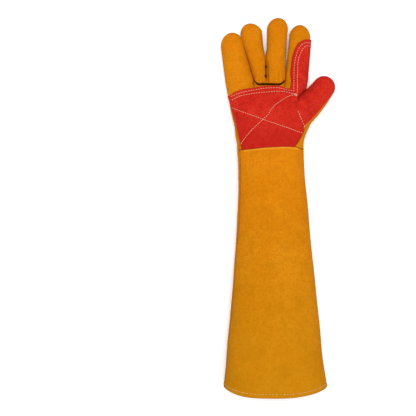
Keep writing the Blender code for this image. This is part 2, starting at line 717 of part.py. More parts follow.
def make_palm_patch():
    """Red reinforcement laid on the palm, with a strip up the index finger."""
    panel = Panel()
    u = np.linspace(0, 4, 4 * DIGIT_COLUMNS + 1)
    u[0] += PATCH_MARGIN
    u[-1] -= PATCH_MARGIN
    strip = STRIP_COLUMNS
    head = np.interp(u / 4, PATCH_EDGE["across"], PATCH_EDGE["head"])
    stations = hand_rows()
    even = stations[(stations > PATCH_FOOT) & (stations < PATCH_EVEN)]
    even = np.concatenate([[PATCH_FOOT], even])
    top = even[-1] + (head - even[-1]) * np.linspace(0, 1, PATCH_HEAD_ROWS + 1)[1:, None]
    v = np.concatenate([even[:, None] + 0 * u, top])
    q = u[-strip - 1:] - INDEX
    centre, way, side_way = digit_place(DIGITS[INDEX], *finger_ends(INDEX))
    edge_z = edge_height(CROTCH_DEPTH) + TIP_LIFT
    half = DIGITS[INDEX]["width"] / 2
    stacks = []
    strips = []
    for inset in (-PATCH_GAP - PATCH_LEATHER, -PATCH_GAP):
        stacks.append(hand_point(u[None, :], v, inset, True))
        levels = stations[-CROTCH_ROWS:]
        rows = [hand_point(INDEX + q, np.full_like(q, level), inset, True) for level in levels]
        for along, left in zip(STRIP_EDGE["along"], STRIP_EDGE["left"]):
            here = left + (q[-1] - left) * (q - q[0]) / (q[-1] - q[0])
            base = hand_point(INDEX + here, np.ones_like(here), inset, True)
            ring = cap_ring(centre, side_way, half, FINGER_DEPTH / 2, edge_z, inset, True, here)
            rows.append(base + (ring - base) * along)
        strips.append(np.array(rows))
    numbers = panel.add(*stacks)
    panel.face(numbers)
    above = panel.add(*strips)
    panel.face(np.vstack([numbers[-1, -strip - 1:][None, :], above]))
    return panel.build("palm_patch", SUEDE_RED)


def clear_scene():
    for item in list(bpy.data.objects):
        bpy.data.objects.remove(item, do_unlink=True)


clear_scene()
make_sleeve_front()
make_sleeve_back()
make_back_panel()
make_palm_panel()
make_middle_ring_front()
make_palm_patch()
make_thumb_front()
make_thumb_back()
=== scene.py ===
"""Looks of a long-sleeved welding gauntlet, right hand, lying with its palm up.

Metres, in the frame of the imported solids: +Z up, fingers toward +Y, thumb toward +X.
Every panel is a wall of suede worked out from the same cross-sections as its solid,
then rounded at its seams, creased, dressed in suede and sewn with thread.
"""

import bpy
import numpy as np
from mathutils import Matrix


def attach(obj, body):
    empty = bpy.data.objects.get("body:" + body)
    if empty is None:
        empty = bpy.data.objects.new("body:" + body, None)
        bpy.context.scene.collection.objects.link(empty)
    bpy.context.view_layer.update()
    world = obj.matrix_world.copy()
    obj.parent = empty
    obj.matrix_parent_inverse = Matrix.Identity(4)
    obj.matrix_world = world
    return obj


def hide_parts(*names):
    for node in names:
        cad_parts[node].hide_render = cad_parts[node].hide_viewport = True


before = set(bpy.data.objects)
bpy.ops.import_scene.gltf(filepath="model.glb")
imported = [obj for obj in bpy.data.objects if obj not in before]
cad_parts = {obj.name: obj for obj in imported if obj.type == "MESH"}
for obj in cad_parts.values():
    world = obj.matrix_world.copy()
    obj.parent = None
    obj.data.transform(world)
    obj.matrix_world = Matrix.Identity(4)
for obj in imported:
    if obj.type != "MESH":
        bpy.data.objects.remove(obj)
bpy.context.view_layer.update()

# Sleeve
# Two long panels of split hide, sewn together down both sides and closed round the arm.
# The open end is turned in once and sewn down, so the hem is two plies thick, and the
# underside lies flat where the floor presses it.

LEATHER = 0.0015
SEAM_GAP = 0.0004
EDGE_SHARE = 0.46
EDGE_RAISE = 0.001
ORIGIN_TO_WRIST = 0.096
SLEEVE_LENGTH = 0.374
HEM_FOLD = 0.0066
HEM_CROWN = 0.0115
HEM_FULL_LEFT = 3.4
HEM_FULL_RIGHT = 2.05
HEM_TILT = 0.0012
HEM_WIDTH = 0.1614
WRIST_WIDTH = 0.104
WRIST_DEPTH = 0.050
HEM_DEPTH = 0.078
FLOOR_PRESS = 0.002
SIDE_SEAM_RISE = 0.011
SIDE_SEAM_INSET = 0.0055
WRIST_DIP = 0.005
WRIST_SKEW = 1.5
BACK_ARCH = 0.0125
PALM_LENGTH = 0.1067
PALM_WIDTH = 0.1290
CROTCH_DEPTH = 0.025
WRIST_BLEND = 0.10
CROWDING = 0.8
RIPPLE_WAVES = 9
RIPPLE_GAIN = 2.2
ROUND_FRONT = 2.3
ROUND_BACK = 2.6
HALF_TURN = np.pi
RELIEF_START = 0.003
PRESSED_WALL = 0.7
# Painted shade: darker along the free edges where the panels meet, and on the sides where they turn
# away from the light above
SEAM_SHADE = 0.38
SEAM_SHADE_WIDTH = 0.0010
SIDE_SHADE = 0.07
SHARP_ANGLE = np.radians(60.0)

# Sections of the sleeve from the wrist to the hem, and of the hand from the wrist to the
# fingers, as shares of the lengths and widths above
SLEEVE_SECTIONS = {
    "along": (0.00, 0.06, 0.14, 0.22, 0.31, 0.39, 0.48, 0.56, 0.64, 0.73, 0.81, 0.89, 0.96, 1.00),
    "flare": (0.022, 0.00, 0.026, 0.08, 0.152, 0.25, 0.344, 0.43, 0.53, 0.64, 0.745, 0.841, 0.94,
              1.00),
    "lean": (-0.023, -0.011, -0.004, 0.01, 0.018, 0.021, 0.025, 0.029, 0.031, 0.031, 0.031, 0.033,
             0.037, 0.04),
    "deep": (0.00, 0.03, 0.08, 0.15, 0.25, 0.34, 0.43, 0.52, 0.61, 0.70, 0.79, 0.88, 0.96, 1.00),
}
HAND_SECTIONS = {
    "along": (0.00, 0.10, 0.16, 0.27, 0.35, 0.46, 0.58, 0.70, 0.78, 0.87, 1.00),
    "left": (-0.427, -0.435, -0.441, -0.450, -0.457, -0.477, -0.503, -0.519, -0.533, -0.545,
             -0.566),
    "right": (0.396, 0.401, 0.411, 0.448, 0.490, 0.520, 0.523, 0.493, 0.455, 0.440, 0.436),
    "deep": (1.00, 0.90, 0.83, 0.72, 0.64, 0.54, 0.44, 0.34, 0.26, 0.16, 0.00),
}


def smooth(at, stations, values):
    """Cubic curve through the stations whose slopes are the mean of the chords beside them."""
    stations = np.asarray(stations, float)
    values = np.asarray(values, float)
    chords = np.diff(values) / np.diff(stations)
    slopes = np.concatenate([chords[:1], (chords[1:] + chords[:-1]) / 2, chords[-1:]])
    at = np.clip(at, stations[0], stations[-1])
    place = np.clip(np.searchsorted(stations, at) - 1, 0, len(stations) - 2)
    span = stations[place + 1] - stations[place]
    t = (at - stations[place]) / span
    start = (1 + 2 * t) * (1 - t) ** 2 * values[place] + t * (1 - t) ** 2 * span * slopes[place]
    end = t ** 2 * (3 - 2 * t) * values[place + 1] + t ** 2 * (t - 1) * span * slopes[place + 1]
    return start + end


def ease(at, start, end):
    """0 before start, 1 after end, and a smooth step between them."""
    t = np.clip((at - start) / (end - start), 0.0, 1.0)
    return t * t * (3 - 2 * t)


def read(table, at):
    """Every row of a table but the first, read at places along that first row."""
    along, *rows = table.values()
    return [smooth(at, along, row) for row in rows]


def crowd(count):
    """Shares from 0 to 1 that lie five times closer at both ends than they do on average."""
    t = np.linspace(0, 1, count + 1)
    return t - CROWDING * np.sin(2 * np.pi * t) / (2 * np.pi)


def edge_height(depth):
    """Height of the side edges of a section of that depth."""
    return EDGE_SHARE * depth + EDGE_RAISE


def section(y):
    """Left edge, right edge, height and height of the side edges of the glove at y."""
    up = (y - ORIGIN_TO_WRIST) / PALM_LENGTH
    flare, lean, deep = read(SLEEVE_SECTIONS, (ORIGIN_TO_WRIST - y) / SLEEVE_LENGTH)
    hand_left, hand_right, hand_deep = read(HAND_SECTIONS, up)
    half = (WRIST_WIDTH + (HEM_WIDTH - WRIST_WIDTH) * flare) / 2
    centre = WRIST_WIDTH * lean
    join = ease(up, 0.0, WRIST_BLEND)
    left = centre - half + (PALM_WIDTH * hand_left - centre + half) * join
    right = centre + half + (PALM_WIDTH * hand_right - centre - half) * join
    palm_depth = CROTCH_DEPTH + (WRIST_DEPTH - CROTCH_DEPTH) * hand_deep
    depth = np.where(up > 0, palm_depth, WRIST_DEPTH + (HEM_DEPTH - WRIST_DEPTH) * deep)
    return left, right, depth, edge_height(depth)


def loop(y, angle, inset):
    """Superellipse round the glove at y, inset below the outside and pressed flat underneath.

    The angle runs from the left edge over the palm side to the right edge and back below.
    """
    left, right, depth, side = section(y)
    half = (right - left) / 2 - inset
    cosine = np.cos(angle)
    sine = np.sin(angle)
    power = np.where(sine > 0, 2 / ROUND_FRONT, 2 / ROUND_BACK)
    x = (right + left) / 2 - half * np.sign(cosine) * np.abs(cosine) ** power
    above = side + (depth - inset - side) * np.abs(sine) ** (2 / ROUND_FRONT)
    below = side - (side + FLOOR_PRESS - inset) * np.abs(sine) ** (2 / ROUND_BACK)
    z = np.where(sine > 0, above, np.maximum(below, inset))
    return np.stack([x, y + 0 * x, z], axis=-1)


def angle_at(y, x, inset, front):
    """Angle of the loop at which it passes x, on the palm side or on the underside."""
    left, right, _, _ = section(y)
    half = (right - left) / 2 - inset
    share = np.clip((x - (right + left) / 2) / half, -1.0, 1.0)
    rounding = ROUND_FRONT if front else ROUND_BACK
    angle = np.arccos(-np.sign(share) * np.abs(share) ** (rounding / 2))
    return angle if front else 2 * HALF_TURN - angle


def rise_angle(y, rise, inset):
    """Small angle at which the loop stands the rise above its left side edge."""
    _, _, depth, side = section(y)
    above = np.abs(rise) / (depth - inset - side)
    below = np.abs(rise) / (side + FLOOR_PRESS - inset)
    up = np.arcsin(np.clip(above, 0, 1) ** (ROUND_FRONT / 2))
    down = np.arcsin(np.clip(below, 0, 1) ** (ROUND_BACK / 2))
    return np.where(rise > 0, up, -down)


def wrist_line(angle):
    """Wrist seam along the glove: a shallow arch over the palm and a deep one over the back."""
    front = np.sin(angle) > 0
    lean = HALF_TURN * np.clip(np.mod(angle, 2 * HALF_TURN) / HALF_TURN, 0, 1) ** WRIST_SKEW
    arch = np.where(front, WRIST_DIP * np.sin(lean) ** 2, BACK_ARCH * np.sin(angle) ** 2)
    return ORIGIN_TO_WRIST - WRIST_DIP + arch


def hem_line(angle):
    """Folded end of the sleeve: it bows out over either side, more so on the little finger side."""
    cosine = np.cos(angle)
    little_side = cosine > 0
    bow = 1 - np.abs(cosine) ** np.where(little_side, HEM_FULL_LEFT, HEM_FULL_RIGHT)
    tilt = HEM_TILT * little_side * cosine ** 2
    return ORIGIN_TO_WRIST - SLEEVE_LENGTH - HEM_CROWN * bow - tilt


def ripple(points, size, seed):
    """Slack of the hide from -1 to 1: sine waves of about one size in seeded directions."""
    made = np.random.default_rng(seed)
    ways = made.normal(size=(RIPPLE_WAVES, 3))
    ways = ways / np.linalg.norm(ways, axis=1, keepdims=True)
    lengths = size * made.uniform(0.7, 1.5, RIPPLE_WAVES)
    phase = points @ (ways / lengths[:, None] * 2 * np.pi).T + made.uniform(0, 6.28, RIPPLE_WAVES)
    return np.sin(phase).mean(axis=1) * RIPPLE_GAIN


def slack(points, *ripples):
    """Depth below an even wall: ripples given as (depth, size, seed), added up."""
    return sum(depth * ripple(points, size, seed) for depth, size, seed in ripples)


def line_distance(points, line):
    """Distance of every point from the nearest of the segments given as (start, end) pairs."""
    start, end = line[:, 0], line[:, 1]
    run = end - start
    length = np.maximum((run ** 2).sum(axis=1), 1e-14)
    nearest = []
    for block in np.array_split(points, len(points) // 400 + 1):
        away = block[:, None] - start
        share = np.clip((away * run).sum(axis=2) / length, 0, 1)
        nearest.append(np.linalg.norm(away - share[..., None] * run, axis=2).min(axis=1))
    return np.concatenate(nearest)


def facing(points, faces):
    """Unit normal at each point: the crossed diagonals of the faces round it, added up."""
    a, b, c, d = (points[faces[:, corner]] for corner in range(4))
    across = np.cross(c - a, d - b)
    total = np.zeros_like(points)
    for corner in range(4):
        np.add.at(total, faces[:, corner], across)
    return total / np.maximum(np.linalg.norm(total, axis=1, keepdims=True), 1e-12)


def add_object(name, data):
    """Object of a mesh, lamp or camera, put in the scene."""
    made = bpy.data.objects.new(name, data)
    bpy.context.scene.collection.objects.link(made)
    return made


def add_piece(name, places, quads, trace, values, material):
    """Piece that rides on the glove: its used points, and quads, or triangles at doubled corners.

    The values go with the points, as the trace that the material reads.
    """
    used, quads = np.unique(quads, return_inverse=True)
    quads = quads.reshape(-1, 4)
    doubled = quads == np.roll(quads, -1, axis=1)
    flat = doubled.any(axis=1)
    ends = quads[flat][~doubled[flat]].reshape(-1, 3)
    mesh = bpy.data.meshes.new(name)
    mesh.from_pydata(places[used], [], quads[~flat].tolist() + ends.tolist())
    kept = mesh.attributes.new(trace, "FLOAT", "POINT")
    kept.data.foreach_set("value", values[used].astype(np.float32))
    mesh.shade_smooth()
    mesh.materials.append(material)
    piece = add_object(name, mesh)
    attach(piece, "root")
    return piece


class Hide:
    """A cut of hide: outer points, inner points under them, and the faces over both."""

    def __init__(self):
        self.outer = np.zeros((0, 3))
        self.inner = np.zeros((0, 3))
        self.faces = np.zeros((0, 4), int)

    def cover(self, outer, inner, below=None, closed=False):
        """Add a grid of points, joined to a row it grows from, its last row drawn to one point."""
        numbers = len(self.outer) + np.arange(outer[..., 0].size).reshape(outer.shape[:-1])
        self.outer = np.concatenate([self.outer, outer.reshape(-1, 3)])
        self.inner = np.concatenate([self.inner, inner.reshape(-1, 3)])
        if closed:
            numbers[-1] = numbers[-1, 0]
        grid = numbers if below is None else np.vstack([below[None], numbers])
        corners = (grid[:-1, :-1], grid[:-1, 1:], grid[1:, 1:], grid[1:, :-1])
        self.faces = np.concatenate([self.faces, np.stack(corners, axis=-1).reshape(-1, 4)])
        return numbers

    def free_edges(self):
        """Edges that only one face has, as pairs of point numbers."""
        ends = np.concatenate([self.faces[:, [k, (k + 1) % 4]] for k in range(4)])
        ends = ends[ends[:, 0] != ends[:, 1]]
        size = len(self.outer)
        return ends[~np.isin(ends[:, 0] * size + ends[:, 1], ends[:, 1] * size + ends[:, 0])]

    def make(self, name, slot, material, roll, relief, grime_and_painted_light=None):
        """Round the free edges by roll, sink the wall by relief, close the rims, and dress it."""
        rim = self.free_edges()
        distance = line_distance(self.outer, self.outer[rim])
        normal = facing(self.outer, self.faces)
        inward = ((self.inner - self.outer) * normal).sum(axis=1).mean() < 0
        self.normal = normal = normal if inward else -normal
        near = np.clip(1 - distance / roll, 0, 1)
        rounded = roll * (1 - np.sqrt(1 - near ** 2))
        sunk = relief(self.outer) * ease(distance, 0.0, RELIEF_START)
        self.inner = self.inner - normal * sunk[:, None]
        self.outer = self.outer - normal * (rounded + sunk)[:, None]
        self.outer[:, 2] = np.maximum(self.outer[:, 2], 0.0)
        under = normal[:, 2] < -0.5
        self.inner[under, 2] = np.maximum(self.inner, self.outer + PRESSED_WALL * LEATHER)[under, 2]
        count = len(self.outer)
        wall = np.hstack([rim[:, ::-1], rim + count])
        quads = np.concatenate([self.faces, self.faces[:, ::-1] + count, wall])
        quads = quads if inward else quads[:, ::-1]
        # Seam trace: painted shade along the free edges and on the steep sides, which the function
        # given may change with painted highlights and painted black shadow
        painted_light_and_shade = SEAM_SHADE * np.exp(-(distance / SEAM_SHADE_WIDTH) ** 2)
        painted_light_and_shade = painted_light_and_shade + SIDE_SHADE * (1 - np.abs(normal[:, 2])) ** 2
        if grime_and_painted_light is not None:
            painted_light_and_shade = grime_and_painted_light(self.outer, distance, painted_light_and_shade)
        places = np.concatenate([self.outer, self.inner])
        painted_light_and_shade = np.concatenate([painted_light_and_shade, painted_light_and_shade])
        piece = add_piece(name, places, quads, "seam", painted_light_and_shade, material)
        piece.data.set_sharp_from_angle(angle=SHARP_ANGLE)
        return piece


class Wire:
    """An output socket of a material. Arithmetic on wires adds its Math nodes."""

    def __init__(self, material, socket=None):
        self.material = material
        self.socket = socket

    def node(self, kind, settings=(), inputs=(), output=0):
        """Add a node: its settings are set first, then the values or wires of its sockets."""
        made = self.material.node_tree.nodes.new(kind)
        for name, value in dict(settings).items():
            setattr(made, name, value)
        for name, value in dict(inputs).items():
            if isinstance(value, Wire):
                self.material.node_tree.links.new(value.socket, made.inputs[name])
            else:
                made.inputs[name].default_value = value
        return Wire(self.material, made.outputs[output])

    def math(self, operation, first, second):
        return self.node("ShaderNodeMath", {"operation": operation}, {0: first, 1: second})

    def __add__(self, other):
        return self.math("ADD", self, other)

    __radd__ = __add__

    def __rsub__(self, other):
        return self.math("SUBTRACT", other, self)

    def __mul__(self, other):
        return self.math("MULTIPLY", self, other)

    def __pow__(self, other):
        return self.math("POWER", self, other)

    def between(self, low, high):
        """0 where the wire is under low, 1 over high, a smooth step between; high may be lower."""
        sockets = {"Value": self, "From Min": low, "From Max": high}
        return self.node("ShaderNodeMapRange", {"interpolation_type": "SMOOTHSTEP"}, sockets)

    def mix(self, first, second):
        """Colour that goes from the first to the second as the wire goes from 0 to 1."""
        sockets = {0: self, 6: first, 7: second}
        return self.node("ShaderNodeMix", {"data_type": "RGBA"}, sockets, output=2)


def new_material(name):
    """A material, its shader, and a first wire to add nodes from."""
    material = bpy.data.materials.new(name)
    material.use_nodes = True
    return material, material.node_tree.nodes["Principled BSDF"], Wire(material)


def plug(shader, material, colour, rough, bump):
    """Join the wires of colour, roughness and bump to a shader."""
    for socket, wire in (("Base Color", colour), ("Roughness", rough), ("Normal", bump)):
        material.node_tree.links.new(wire.socket, shader.inputs[socket])


def suede(name, body, pale, deep, warm, shade, light, far, fade, span, warmth):
    """Rough split hide: clouds of dye, mottling, brushed nap and a duller far end, with light and
    shade painted by the seam trace.
    """
    material, shader, start = new_material(name)
    place = start.node("ShaderNodeTexCoord", output=3)

    def noise(size, detail, rough, twist=0.0):
        sockets = {"Vector": place, "Scale": 1 / size, "Detail": detail, "Roughness": rough,
                   "Distortion": twist}
        return start.node("ShaderNodeTexNoise", {"noise_dimensions": "3D"}, sockets)

    cloud = noise(0.075, 3.0, 0.55, 0.6)
    blotch = noise(0.026, 3.0, 0.60, 0.3)
    mottle = noise(0.0085, 3.0, 0.65, 0.5)
    speck = noise(0.0032, 4.0, 0.75, 0.3)
    nap = noise(0.0011, 4.0, 0.75, 0.8)
    colour = cloud.between(0.34, 0.66).mix(body, pale)
    for grain, low, high, share, tint in (
        (blotch, 0.42, 0.66, 0.50, deep),
        (blotch, 0.56, 0.30, 0.45, warm),
        (mottle, 0.42, 0.70, 0.34, deep),
        (mottle, 0.52, 0.30, 0.34, pale),
        (speck, 0.48, 0.66, 0.75, deep),
        (speck, 0.50, 0.33, 0.60, pale),
        (nap, 0.45, 0.70, 0.35, deep),
    ):
        colour = (grain.between(low, high) * share).mix(colour, tint)
    along = start.node("ShaderNodeSeparateXYZ", inputs={0: place}, output=1)
    colour = (along.between(-0.10, 0.05) * warmth).mix(colour, warm)
    colour = ((1 - along.between(*span)) * fade).mix(colour, far)
    seam = start.node("ShaderNodeAttribute", {"attribute_name": "seam"}, output=2)
    # The seam trace paints light and shade: a painted highlight where it is below zero, painted
    # shade as it rises, and painted black shadow where it is highest
    colour = (seam * -1).mix(colour, light)
    colour = (seam * 0.85).mix(colour, shade)
    colour = seam.between(0.62, 0.92).mix(colour, OPEN_SEAM_SHADOW)
    height = speck * 0.5 + nap * 0.5 + mottle * 0.7
    bump = {"Height": height, "Strength": 0.42, "Distance": 0.0012}
    plug(shader, material, colour, 0.86 + speck * 0.16, start.node("ShaderNodeBump", {}, bump))
    for socket, value in (("Specular IOR Level", 0.05), ("Sheen Weight", 0.03),
                          ("Sheen Roughness", 0.6), ("Sheen Tint", body)):
        shader.inputs[socket].default_value = value
    return material


# Painted shadow: the black of the glove's dark inside, seen through its open seams
OPEN_SEAM_SHADOW = (0.004, 0.002, 0.002, 1.0)
suede_gold = suede(
    "suede_gold",
    body=(0.448, 0.146, 0.0010, 1.0),
    pale=(0.530, 0.192, 0.0050, 1.0),
    deep=(0.350, 0.108, 0.0004, 1.0),
    warm=(0.490, 0.132, 0.0004, 1.0),
    shade=(0.085, 0.022, 0.0010, 1.0),
    light=(0.640, 0.270, 0.0200, 1.0),
    far=(0.340, 0.143, 0.0010, 1.0),
    fade=0.60,
    span=(-0.30, 0.10),
    warmth=0.35,
)

SLEEVE_COLUMNS = 110
SLEEVE_ROWS = 190
HEM_ROWS = 14
FOLD_ROWS = 9
PLY_STEP = 0.0002
HEM_GROOVE = 0.0007
HEM_GROOVE_WIDTH = 0.0014
HEM_PUFF = 0.0004
PUFF_EDGE = 0.002
SAG_START = 0.02
# Creases of the sleeve: place along, width and depth, bowed by x squared
SLEEVE_CREASES = ((0.066, 0.005, 0.0007), (0.037, 0.007, 0.0005))
CREASE_BOW = 2.0
# Painted highlight on the rolled edge at the wrist: where it begins along, how far it runs to
# either side
ROLL_BEGIN = (0.080, 0.086)
ROLL_HALF = (0.040, 0.046)
ROLL_ABOVE = 0.03
ROLL_LIGHT = 0.75
ROLL_PLACE = 0.0016
ROLL_WIDTH = 0.0014


def sleeve_panel(front):
    """Half the sleeve from seam to seam, its rows run down to the hem and round the fold.

    The outside turns in along a quarter circle as deep as one ply at the folded edge, where
    it meets the inner ply, which runs back up by the width of the fold and ends in a step.
    """
    fold = 1 - HEM_FOLD / SLEEVE_LENGTH
    ply = LEATHER / SLEEVE_LENGTH
    turn = np.linspace(0, HALF_TURN / 2, FOLD_ROWS)[1:]
    body = crowd(2 * SLEEVE_ROWS)[:SLEEVE_ROWS]
    body = body / body[-1] * fold
    hem = np.linspace(fold, 1 - ply, HEM_ROWS)[1:]
    step = [fold + PLY_STEP / SLEEVE_LENGTH]
    share = np.concatenate([body, step, hem, 1 - ply + ply * np.sin(turn)])[:, None]
    turned = LEATHER * np.concatenate([np.zeros(len(share) - len(turn)), 1 - np.cos(turn)])[:, None]
    plies = np.where(share > fold, 2 * LEATHER, LEATHER)
    grids = []
    for inset in (turned, np.where(turned > 0, 2 * LEATHER - turned, plies)):
        level = ORIGIN_TO_WRIST - WRIST_DIP - SEAM_GAP - (SLEEVE_LENGTH - WRIST_DIP) * share
        seam_x = section(level)[1] - SIDE_SEAM_INSET
        if front:
            start = rise_angle(level, SIDE_SEAM_RISE + SEAM_GAP / 2, inset)
            end = angle_at(level, seam_x + SEAM_GAP / 2, inset, False)
        else:
            start = angle_at(level, seam_x - SEAM_GAP / 2, inset, False)
            end = 2 * HALF_TURN + rise_angle(level, SIDE_SEAM_RISE - SEAM_GAP / 2, inset)
        angle = start + (end - start) * crowd(SLEEVE_COLUMNS)
        top = wrist_line(angle) - SEAM_GAP
        grids.append(loop(top + (hem_line(angle) - top) * share, angle, inset))
    return grids


def sleeve_relief(points):
    """Depth below the even sleeve: slow slack, a few soft creases, the groove of the hem row."""
    x, y = points[:, 0], points[:, 1]
    left, right, _, _ = section(y)
    across = np.abs(2 * x - right - left) / (right - left)
    bend = y + CREASE_BOW * x ** 2
    creases = sum(deep * np.exp(-((bend - at) / wide) ** 2) for at, wide, deep in SLEEVE_CREASES)
    edge = ORIGIN_TO_WRIST - SLEEVE_LENGTH
    from_hem = y - edge + HEM_CROWN * (1 - np.clip(across, 0, 1) ** ROUND_FRONT)
    groove = HEM_GROOVE * np.exp(-((from_hem - HEM_FOLD) / HEM_GROOVE_WIDTH) ** 2)
    puff = ease(from_hem, 0.0, PUFF_EDGE) * (1 - ease(from_hem, HEM_FOLD - PUFF_EDGE, HEM_FOLD))
    sag = slack(points, (0.0006, 0.060, 3), (0.0011, 0.150, 4))
    sag = sag * ease(ORIGIN_TO_WRIST - y, 0.0, SAG_START)
    return sag + creases * (1 - across ** 4) + groove - HEM_PUFF * puff


def wrist_roll_highlight(points, distance, painted_light_and_shade):
    """Seam trace of the sleeve: a painted highlight, in place of its painted seam shade, along the
    rolled edge beside the wrist seam.
    """
    centre = section(np.array(ORIGIN_TO_WRIST))[0] + WRIST_WIDTH / 2
    over = ease(points[:, 1], *ROLL_BEGIN) * (points[:, 2] > ROLL_ABOVE)
    over = over * (1 - ease(np.abs(points[:, 0] - centre), *ROLL_HALF))
    light = ROLL_LIGHT * np.exp(-((distance - ROLL_PLACE) / ROLL_WIDTH) ** 2)
    return painted_light_and_shade * (1 - over) - light * over


sleeve_hides = []
for front in (True, False):
    hide = Hide()
    hide.cover(*sleeve_panel(front))
    name = "sleeve_front" if front else "sleeve_back"
    piece = hide.make(name + "_suede", "suede_gold", suede_gold, 0.0012, sleeve_relief, wrist_roll_highlight)
    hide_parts(name)
    sleeve_hides.append(hide)

# Hem thread
# One row of pale waxed thread that holds the turned-in fold, about 7 mm above the edge.
# Every stitch is a separate bead of thread that dives into the hide at both ends.

LAY_LENGTH = 2.2
STITCH_RINGS = np.array([-1.0, -0.86, -0.45, 0.0, 0.45, 0.86, 1.0])
STITCH_SIDES = 6
HEM_STITCH = {"pitch": 0.0036, "length": 0.0030, "radius": 0.00034}
HEM_THREAD_OUT = 0.0001
HEM_THREAD_ABOVE = 0.003
HEM_THREAD_SPAN = slice(10, 392)
HEM_REACH = -0.24


def thread(name, body, shade):
    """Twisted waxed thread: pale, with a painted shade line between its strands, random grime and a
    slight gloss.
    """
    material, shader, start = new_material(name)
    lay = start.node("ShaderNodeAttribute", {"attribute_name": "lay"}, output=2)
    strand = start.node("ShaderNodeMath", {"operation": "SINE"}, {0: lay * 6.2832}) * 0.5 + 0.5
    place = start.node("ShaderNodeTexCoord", output=3)
    grime_and_painted_light = start.node("ShaderNodeTexNoise", {}, {"Vector": place, "Scale": 160.0, "Detail": 3.0})
    colour = (strand ** 2.0 * 0.35 + grime_and_painted_light.between(0.45, 0.75) * 0.3).mix(body, shade)
    bump = start.node("ShaderNodeBump", {}, {"Height": strand, "Strength": 0.5, "Distance": 0.0002})
    plug(shader, material, colour, 0.55 + grime_and_painted_light * 0.2, bump)
    return material


def along_line(line, pitch):
    """Places and directions at even steps of about one pitch along a smooth line."""
    line = np.asarray(line, float)

    def run_of(points):
        return np.concatenate([[0], np.cumsum(np.linalg.norm(np.diff(points, axis=0), axis=1))])

    def on_curve(at):
        return np.stack([np.interp(at, length, row) for row in curve.T], axis=1)

    run = run_of(line)
    fine = np.linspace(0, run[-1], 400)
    curve = np.stack([smooth(fine, run, row) for row in line.T], axis=1)
    length = run_of(curve)
    count = max(2, int(round(length[-1] / pitch)))
    at = (np.arange(count) + 0.5) / count * length[-1]
    way = on_curve(at + 1e-4) - on_curve(at - 1e-4)
    return on_curve(at), way / np.linalg.norm(way, axis=1, keepdims=True)


def sew(name, spots, ways, normals, length, material, radius):
    """Beads of thread: a round bar along the way, bowed up and narrowed to a point at its ends."""
    ways = ways - normals * (ways * normals).sum(axis=1, keepdims=True)
    ways = ways / np.linalg.norm(ways, axis=1, keepdims=True)
    aside = np.cross(ways, normals)
    ring = STITCH_RINGS
    width = (radius * (1 - ring ** 6))[:, None]
    rise = (radius * (1 - 2 * ring ** 4))[:, None]
    turn = np.arange(STITCH_SIDES) / STITCH_SIDES * 2 * np.pi
    middle = spots[:, None] + ways[:, None] * (ring * length / 2)[:, None] + normals[:, None] * rise
    bars = middle[:, :, None] + normals[:, None, None] * (np.cos(turn) * width)[..., None]
    bars = bars + aside[:, None, None] * (np.sin(turn) * width)[..., None]
    count, rows = len(spots), len(ring)
    grid = np.arange(rows * STITCH_SIDES).reshape(rows, STITCH_SIDES)
    grid[0], grid[-1] = grid[0, 0], grid[-1, 0]
    after = np.roll(grid, -1, axis=1)
    one = np.stack([grid[:-1], after[:-1], after[1:], grid[1:]], axis=-1).reshape(-1, 4)
    quads = (one + (np.arange(count) * rows * STITCH_SIDES)[:, None, None]).reshape(-1, 4)
    lay = (ring * length / (2 * LAY_LENGTH * radius))[:, None] + turn / (2 * np.pi)
    lay = np.broadcast_to(lay, (count, rows, STITCH_SIDES)).ravel()
    add_piece(name, bars.reshape(-1, 3), quads, "lay", lay, material)


thread_straw = thread("thread_straw", (0.60, 0.40, 0.16, 1.0), (0.38, 0.22, 0.07, 1.0))

angles = np.linspace(0, 2 * HALF_TURN, 400)
row = loop(hem_line(angles) + HEM_FOLD, angles, -HEM_THREAD_OUT)
spots, ways = along_line(row[HEM_THREAD_SPAN], HEM_STITCH["pitch"])
points = np.concatenate([hide.outer for hide in sleeve_hides])
normals = np.concatenate([hide.normal for hide in sleeve_hides])
near_hem = points[:, 1] < HEM_REACH
points, normals = points[near_hem], normals[near_hem]
nearest = np.linalg.norm(spots[:, None] - points, axis=2).argmin(axis=1)
seen = points[nearest, 2] > HEM_THREAD_ABOVE
nearest, ways = nearest[seen], ways[seen]
sew("hem_thread", points[nearest], ways, normals[nearest], HEM_STITCH["length"], thread_straw,
    HEM_STITCH["radius"])

# Back of the hand
# One large piece of hide from the wrist to the fingertips. It is cut between the fingers
# and sewn to the palm side round each of them, and it lies flat on the floor.

SIDE_ROLL = 0.60
CROTCH_EDGE = 0.0008
GUSSET_DIP = 0.0100
GUSSET_CORNER = 0.42
GUSSET_VALLEY = 0.30
FINGER_BLEND = 0.026
FINGER_DEPTH = 0.0200
TIP_LIFT = 0.0020
CAP_SHARE = 0.60
THUMB_CROTCH = 0.870
THUMB_HEEL = 0.265
PALM_SEAM = {
    "along": (0.00, 0.13, 0.265, 0.40, 0.53, 0.65, 0.71, 0.77, 0.82, 0.87),
    "across": (0.264, 0.338, 0.388, 0.337, 0.299, 0.301, 0.318, 0.350, 0.388, 0.432),
}
BACK_SEAM = {
    "along": (0.00, 0.10, 0.30, 0.51, 0.70, 0.79, 0.87),
    "across": (0.354, 0.360, 0.377, 0.389, 0.402, 0.412, 0.432),
}
CROTCHES = {
    "across": (-0.566, -0.214, -0.060, 0.171, 0.436),
    "up": (-0.020, 0.000, 0.012, 0.000, -0.008),
}

